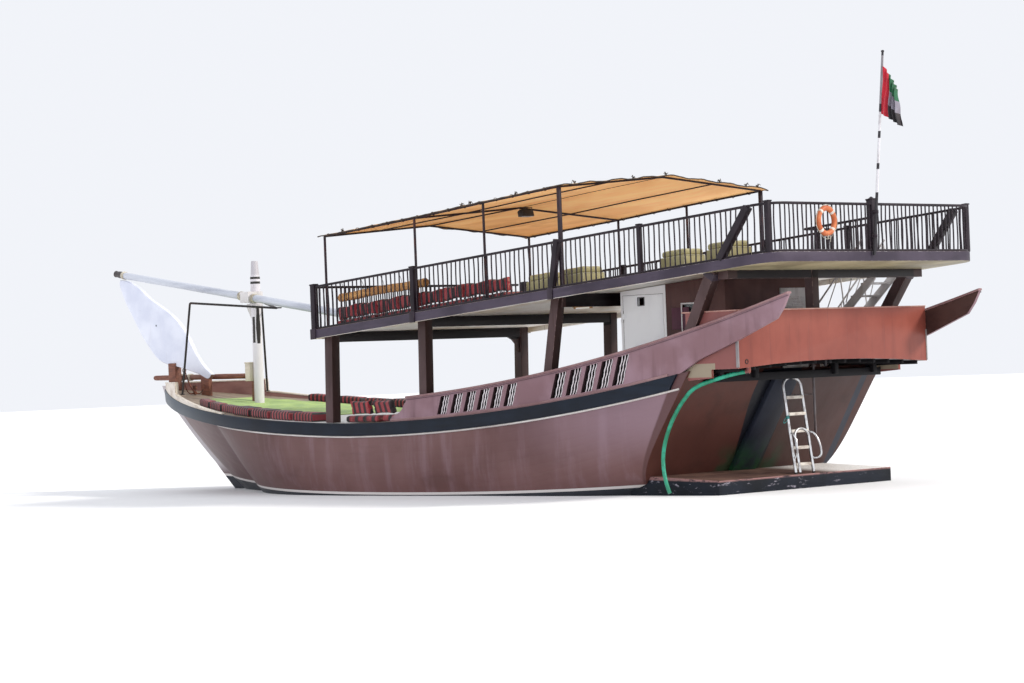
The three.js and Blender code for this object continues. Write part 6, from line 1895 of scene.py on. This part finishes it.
def pad(name, size, pinch=0.02, channels=(), groove=0.006, voxel=0.013, cap=0.024):
    """A stuffed pad of the given length, width and height, drawn in along its sewn channels."""
    length, width, height = size
    piece = block(name, (-length / 2 + pinch, -width / 2 + pinch, pinch * 0.6),
                  (length / 2 - pinch, width / 2 - pinch, height - pinch * 0.8), min(0.03, height * 0.3), 3)
    spots = points_of(stuffed(piece, voxel, cap))
    top = spots[:, 2] - 0.5 * height
    for at in channels:
        dip = groove * np.exp(-((spots[:, 0] - at) / 0.012) ** 2)
        spots[:, 2] -= dip * np.sign(top) * np.minimum(1, np.abs(top) / (0.3 * height))
        spots[:, 1] -= 0.6 * dip * np.sign(spots[:, 1]) * np.minimum(1, np.abs(spots[:, 1]) / (0.35 * width))
    spots[:, 2] = np.maximum(spots[:, 2], 0.0)
    alone(move_points(piece, spots))
    bpy.ops.object.shade_smooth()
    return piece


def copied(piece, name, matrix):
    """A copy of a piece with its own mesh, set in place."""
    other = piece.copy()
    other.data = piece.data.copy()
    other.name = name
    bpy.context.collection.objects.link(other)
    other.data.transform(matrix)
    return other


def striped(name, axis, pitch, ground=0x7E1A24, dark=0x1A1418, thin=0xA8685C, share=0.42):
    """Hand-woven cushion cloth: broad red and black stripes across the pad and a thin pale one."""
    cover = Finish(name, 0.8, Sheen_Weight=0.25, Sheen_Roughness=0.5)
    run = {"x": cover.x, "y": cover.y}[axis] + 40.0
    at = (run % pitch) / pitch
    warp = cover.noise(90, (1, 1, 1), 3)
    sun = cover.noise(1.1, detail=5)
    grime = cover.noise(5, detail=5, rough=0.6)
    colour = cover.coats(
        (sun.eased(0.35, 0.66), ground, 0x93303A),
        (at.between(0.5 - share / 2, 0.5 + share / 2), cover.mix(sun.eased(0.4, 0.66), dark, 0x2C2226)),
        (at.between(0.06, 0.1) + at.between(0.9, 0.94), cover.mix(grime.eased(0.4, 0.6), thin, 0x7A4A44)),
        (grime.eased(0.56, 0.74) * 0.4, 0x4A3430))
    cover.feed(colour, 0.8, warp * 0.6 + grime * 1.2, 0.0025)
    return cover


def cushion(piece, cover, nodes=()):
    finished(piece, "striped_cloth", cover, nodes, smooth=0)


def thrown_away(*patterns):
    """Removes the pieces that the others were copied from."""
    for piece in patterns:
        bpy.data.objects.remove(piece, do_unlink=True)


SEAT_X = (0.9, -4.4)
mattress_size = ((SEAT_X[0] - SEAT_X[1]) / 4, 0.66, 0.135)
mattress = pad("mattress", mattress_size, channels=np.linspace(-0.5, 0.5, 6), groove=0.008, voxel=0.015)
pillow_size = ((SEAT_X[0] - SEAT_X[1]) / 8, 0.34, 0.17)
pillow = pad("pillow", pillow_size, channels=np.linspace(-0.22, 0.22, 4), groove=0.014, voxel=0.013, cap=0.03)
slope = Matrix.Rotation(math.atan(0.08), 4, "Y")
seat_cloth = striped("seat_cloth", "x", 0.27, 0x6E1822, 0x1C1519)
pillow_cloth = striped("pillow_cloth", "x", 0.165, 0x941A28, 0x141014, share=0.44)
for side, word in ((1, "port"), (-1, "starboard")):
    turn = Matrix.Diagonal((1, 1, 1, 1)) if side > 0 else Matrix.Rotation(pi, 4, "Z")
    mattresses, pillows = [], []
    for number in range(4):
        x = SEAT_X[0] - (number + 0.5) * mattress_size[0]
        at = Vector((x, side * 2.89, deck_height(x) + 0.003))
        mattresses.append(copied(mattress, "mattress_copy", Matrix.Translation(at) @ slope @ turn))
    for number in range(8):
        x = SEAT_X[0] - (number + 0.5) * pillow_size[0]
        lean = radians(82 + 5 * scatter(number * 5 + side))
        z = deck_height(x) + 0.305 + 0.008 * scatter(number * 2)
        at = Vector((x + 0.006 * scatter(number), side * 3.075, z))
        place = Matrix.Translation(at) @ slope @ turn @ Matrix.Rotation(lean, 4, "X") @ Matrix.Rotation(
            radians(2.5 * scatter(number * 3)), 4, "Z") @ Matrix.Translation((0, 0, -0.085))
        pillows.append(copied(pillow, "pillow_copy", place))
    for kind, group, cover in (("seat_mattress", mattresses, seat_cloth),
                               ("back_pillow", pillows, pillow_cloth)):
        for number, piece in enumerate(group, 1):
            piece.name = f"{kind}_{word}_{number}"
            cushion(piece, cover, [f"rail_cushions_{word}"])
thrown_away(mattress, pillow)

# Foredeck cushions: long low bolsters along both sides inside the washboards, bent to the deck's
# edge, and loose ones further forward.
bolster = pad("bolster", (0.78, 0.6, 0.19), channels=np.linspace(-0.3, 0.3, 7), groove=0.014, voxel=0.014,
              cap=0.03)
bolster_cloth = striped("bolster_cloth", "x", 0.1, 0x7A1C26, 0x1A1418, share=0.5)
small_bolster = copied(bolster, "small_bolster", Matrix.Diagonal((0.9, 0.55, 0.85, 1)))


def laid_along(piece, name, middle, side, inward):
    """A copy of a straight pad laid on the deck along the boat's side, bent to its curve."""
    piece = copied(piece, name, Matrix.Identity(4))
    spots = points_of(piece)
    for spot in spots:
        x = middle + spot[0]
        spot[:] = (x, side * (sheer_half(x) - inward + spot[1]), sheer_height(x) + 0.004 + spot[2])
    move_points(piece, spots)
    return outward(piece) if side < 0 else piece


for side, word in ((1, "port"), (-1, "starboard")):
    for number in range(4):
        piece = laid_along(bolster, f"bow_bolster_{word}_{number + 1}", 2.26 + number * 0.785, side, 0.41)
        cushion(piece, bolster_cloth, [f"bow_cushions_{word}"])
    for number, middle in enumerate((5.42, 6.14, 6.86)):
        piece = laid_along(small_bolster, f"loose_bolster_{word}_{number + 1}", middle, side, 0.42)
        cushion(piece, bolster_cloth)
thrown_away(bolster, small_bolster)

# Main deck seats: striped mattresses laid on the deck along both bulwarks, with stuffed pillows that
# lean on the boards.
main_pad = pad("main_pad", (1.1, 0.5, 0.14), channels=np.linspace(-0.42, 0.42, 6), groove=0.008, voxel=0.015)
main_pillow = pad("main_pillow", (0.66, 0.36, 0.15), channels=np.linspace(-0.24, 0.24, 4), groove=0.012,
                  voxel=0.013, cap=0.03)
for side, word in ((1, "port"), (-1, "starboard")):
    turn = Matrix.Identity(4) if side > 0 else Matrix.Rotation(pi, 4, "Z")
    for number, x in enumerate((0.45, -0.72, -2.5, -3.62)):
        tilt = Matrix.Rotation(math.atan(sheer_height(x - 0.5) - sheer_height(x + 0.5)), 4, "Y")
        place = Matrix.Translation((x, side * 2.72, sheer_height(x) + 0.012)) @ tilt @ turn
        cushion(copied(main_pad, f"deck_mattress_{word}_{number + 1}", place), seat_cloth)
    for number, x in enumerate((0.5, -0.22, -2.2, -2.9, -3.6)):
        lean = Matrix.Rotation(radians(74 + 5 * scatter(number * 4 + side)), 4, "X")
        at = Matrix.Translation((x, side * 2.86, sheer_height(x) + 0.335))
        place = at @ turn @ lean @ Matrix.Translation((0, 0, -0.075))
        cushion(copied(main_pillow, f"deck_pillow_{word}_{number + 1}", place), pillow_cloth)
thrown_away(main_pad, main_pillow)

# Benches: padded boxes covered in khaki vinyl on the upper deck's port side, each a base with welted
# edges and a loose squab on top.
squab = pad("squab", (0.64, 0.65, 0.13), voxel=0.013, cap=0.018, pinch=0.014)
vinyl = Finish("khaki_vinyl", 0.5, Coat_Weight=0.1)
vinyl_sun = vinyl.noise(1.3, detail=5)
vinyl_grain = vinyl.noise(70, detail=3)
scuffs = vinyl.noise(7, (1, 1, 0.5), 5, 0.65)
vinyl_colour = vinyl.coats(
    (vinyl_sun.eased(0.35, 0.65), 0x8C835A, 0xA39B70),
    (scuffs.eased(0.56, 0.72) * 0.5, 0x6A6244))
vinyl.feed(vinyl_colour, 0.45 + vinyl_sun * 0.2, vinyl_grain * 0.3 + scuffs * 0.6, 0.002)
welt = stained("bench_welt", (20, (1, 1, 1), 4), (0.45, 0.65), 0xC9C3A4, 0x9A9272, 0.5, 0, 0.0008)
for number, x in enumerate((-5.1, -6.08, -8.82, -10.02), 1):
    body = block("base", (x - 0.318, 2.352, 0.004), (x + 0.318, 2.998, 0.272), 0.022, 4)
    plinth = block("plinth", (x - 0.3, 2.37, 0.002), (x + 0.3, 2.98, 0.03), 0.004)
    base = on_deck(merged(f"bench_base_{number}", [body, plinth]))
    finished(base, "khaki_cloth", vinyl, [f"bench_{number}"])
    piece = on_deck(copied(squab, f"bench_squab_{number}", Matrix.Translation((x, 2.675, 0.272))))
    finished(piece, "khaki_cloth", vinyl, [f"bench_{number}"], smooth=0)
    rim = [(x - 0.3, 2.36), (x + 0.3, 2.36), (x + 0.322, 2.38), (x + 0.322, 2.97), (x + 0.3, 2.992),
           (x - 0.3, 2.992), (x - 0.322, 2.97), (x - 0.322, 2.38), (x - 0.3, 2.36)]
    cords = [tube("welt", [(px, py, height) for px, py in rim], 0.006, 8) for height in (0.012, 0.268)]
    cords += [tube("welt", [(corner_x, corner_y, 0.014), (corner_x, corner_y, 0.262)], 0.005, 8)
              for corner_x in (x + 0.317, x - 0.317) for corner_y in (2.997, 2.353)]
    finished(on_deck(merged(f"bench_welts_{number}", cords)), "khaki_cloth", welt, smooth=60)
thrown_away(squab)

# Rolled awning: a spare length of the tan cloth, rolled up on itself and tied with tarred rope to the
# inner side of the port rail.
ROLL_X = (0.76, -1.93)
ROLL_AT = (3.132, 0.64)
ROLL_TURN = 2 * pi * 3.6
ROLL_TIES = (0.5, -0.12, -0.74, -1.3, -1.75)


def roll_sag(x):
    return 0.012 * sin(3.2 * x)


roll_rows = []
for turn in np.linspace(0, ROLL_TURN, 130):
    row = []
    for x in np.linspace(*ROLL_X, 60):
        tie = min(abs(x - at) for at in ROLL_TIES)
        reach = (0.042 + 0.058 * turn / ROLL_TURN) * (1 - 0.16 * math.exp(-(tie / 0.05) ** 2))
        reach += 0.0035 * sin(3 * turn + 5 * x) * sin(7.3 * x)
        row.append((x, ROLL_AT[0] + reach * cos(-turn), ROLL_AT[1] + reach * sin(-turn) - roll_sag(x)))
    roll_rows.append(row)
roll = skin("rolled_cloth", roll_rows, closed=False)
use_modifier(roll, "SOLIDIFY", thickness=0.003, offset=0.0)
on_deck(roll)
roll_shade = Finish("rolled_shade", 0.85)
roll_crease = roll_shade.noise(2.2, (0.4, 3, 3), 5, swirl=0.8)
roll_yarn = roll_shade.noise(60, detail=3)
roll_shade.feed(roll_shade.mix(roll_crease.eased(0.35, 0.66), 0xA4744A, 0xC9975F), 0.85,
                roll_crease * 2 + roll_yarn * 0.3, 0.005)
finished(roll, "tan_canvas", roll_shade, ["rolled_awning"], smooth=60)
roll_ties = []
for x in ROLL_TIES:
    y, z = ROLL_AT[0], ROLL_AT[1] - roll_sag(x)
    ring_line = [(x + 0.006 * sin(a), y + 0.089 * cos(a), z + 0.089 * sin(a))
                 for a in np.linspace(0, 2 * pi, 25)]
    roll_ties.append(tube("tie", ring_line, 0.006, 6))
    roll_ties.append(tube("tie", [(x, ROLL_AT[0] + 0.085, ROLL_AT[1] + 0.02),
                                  (x, ROLL_AT[0] + 0.13, ROLL_AT[1] + 0.16), (x, RAIL_Y - 0.02, 0.955)],
                          0.005, 6))
finished(on_deck(merged("roll_ties", roll_ties)), "tan_canvas", tarred, smooth=60)
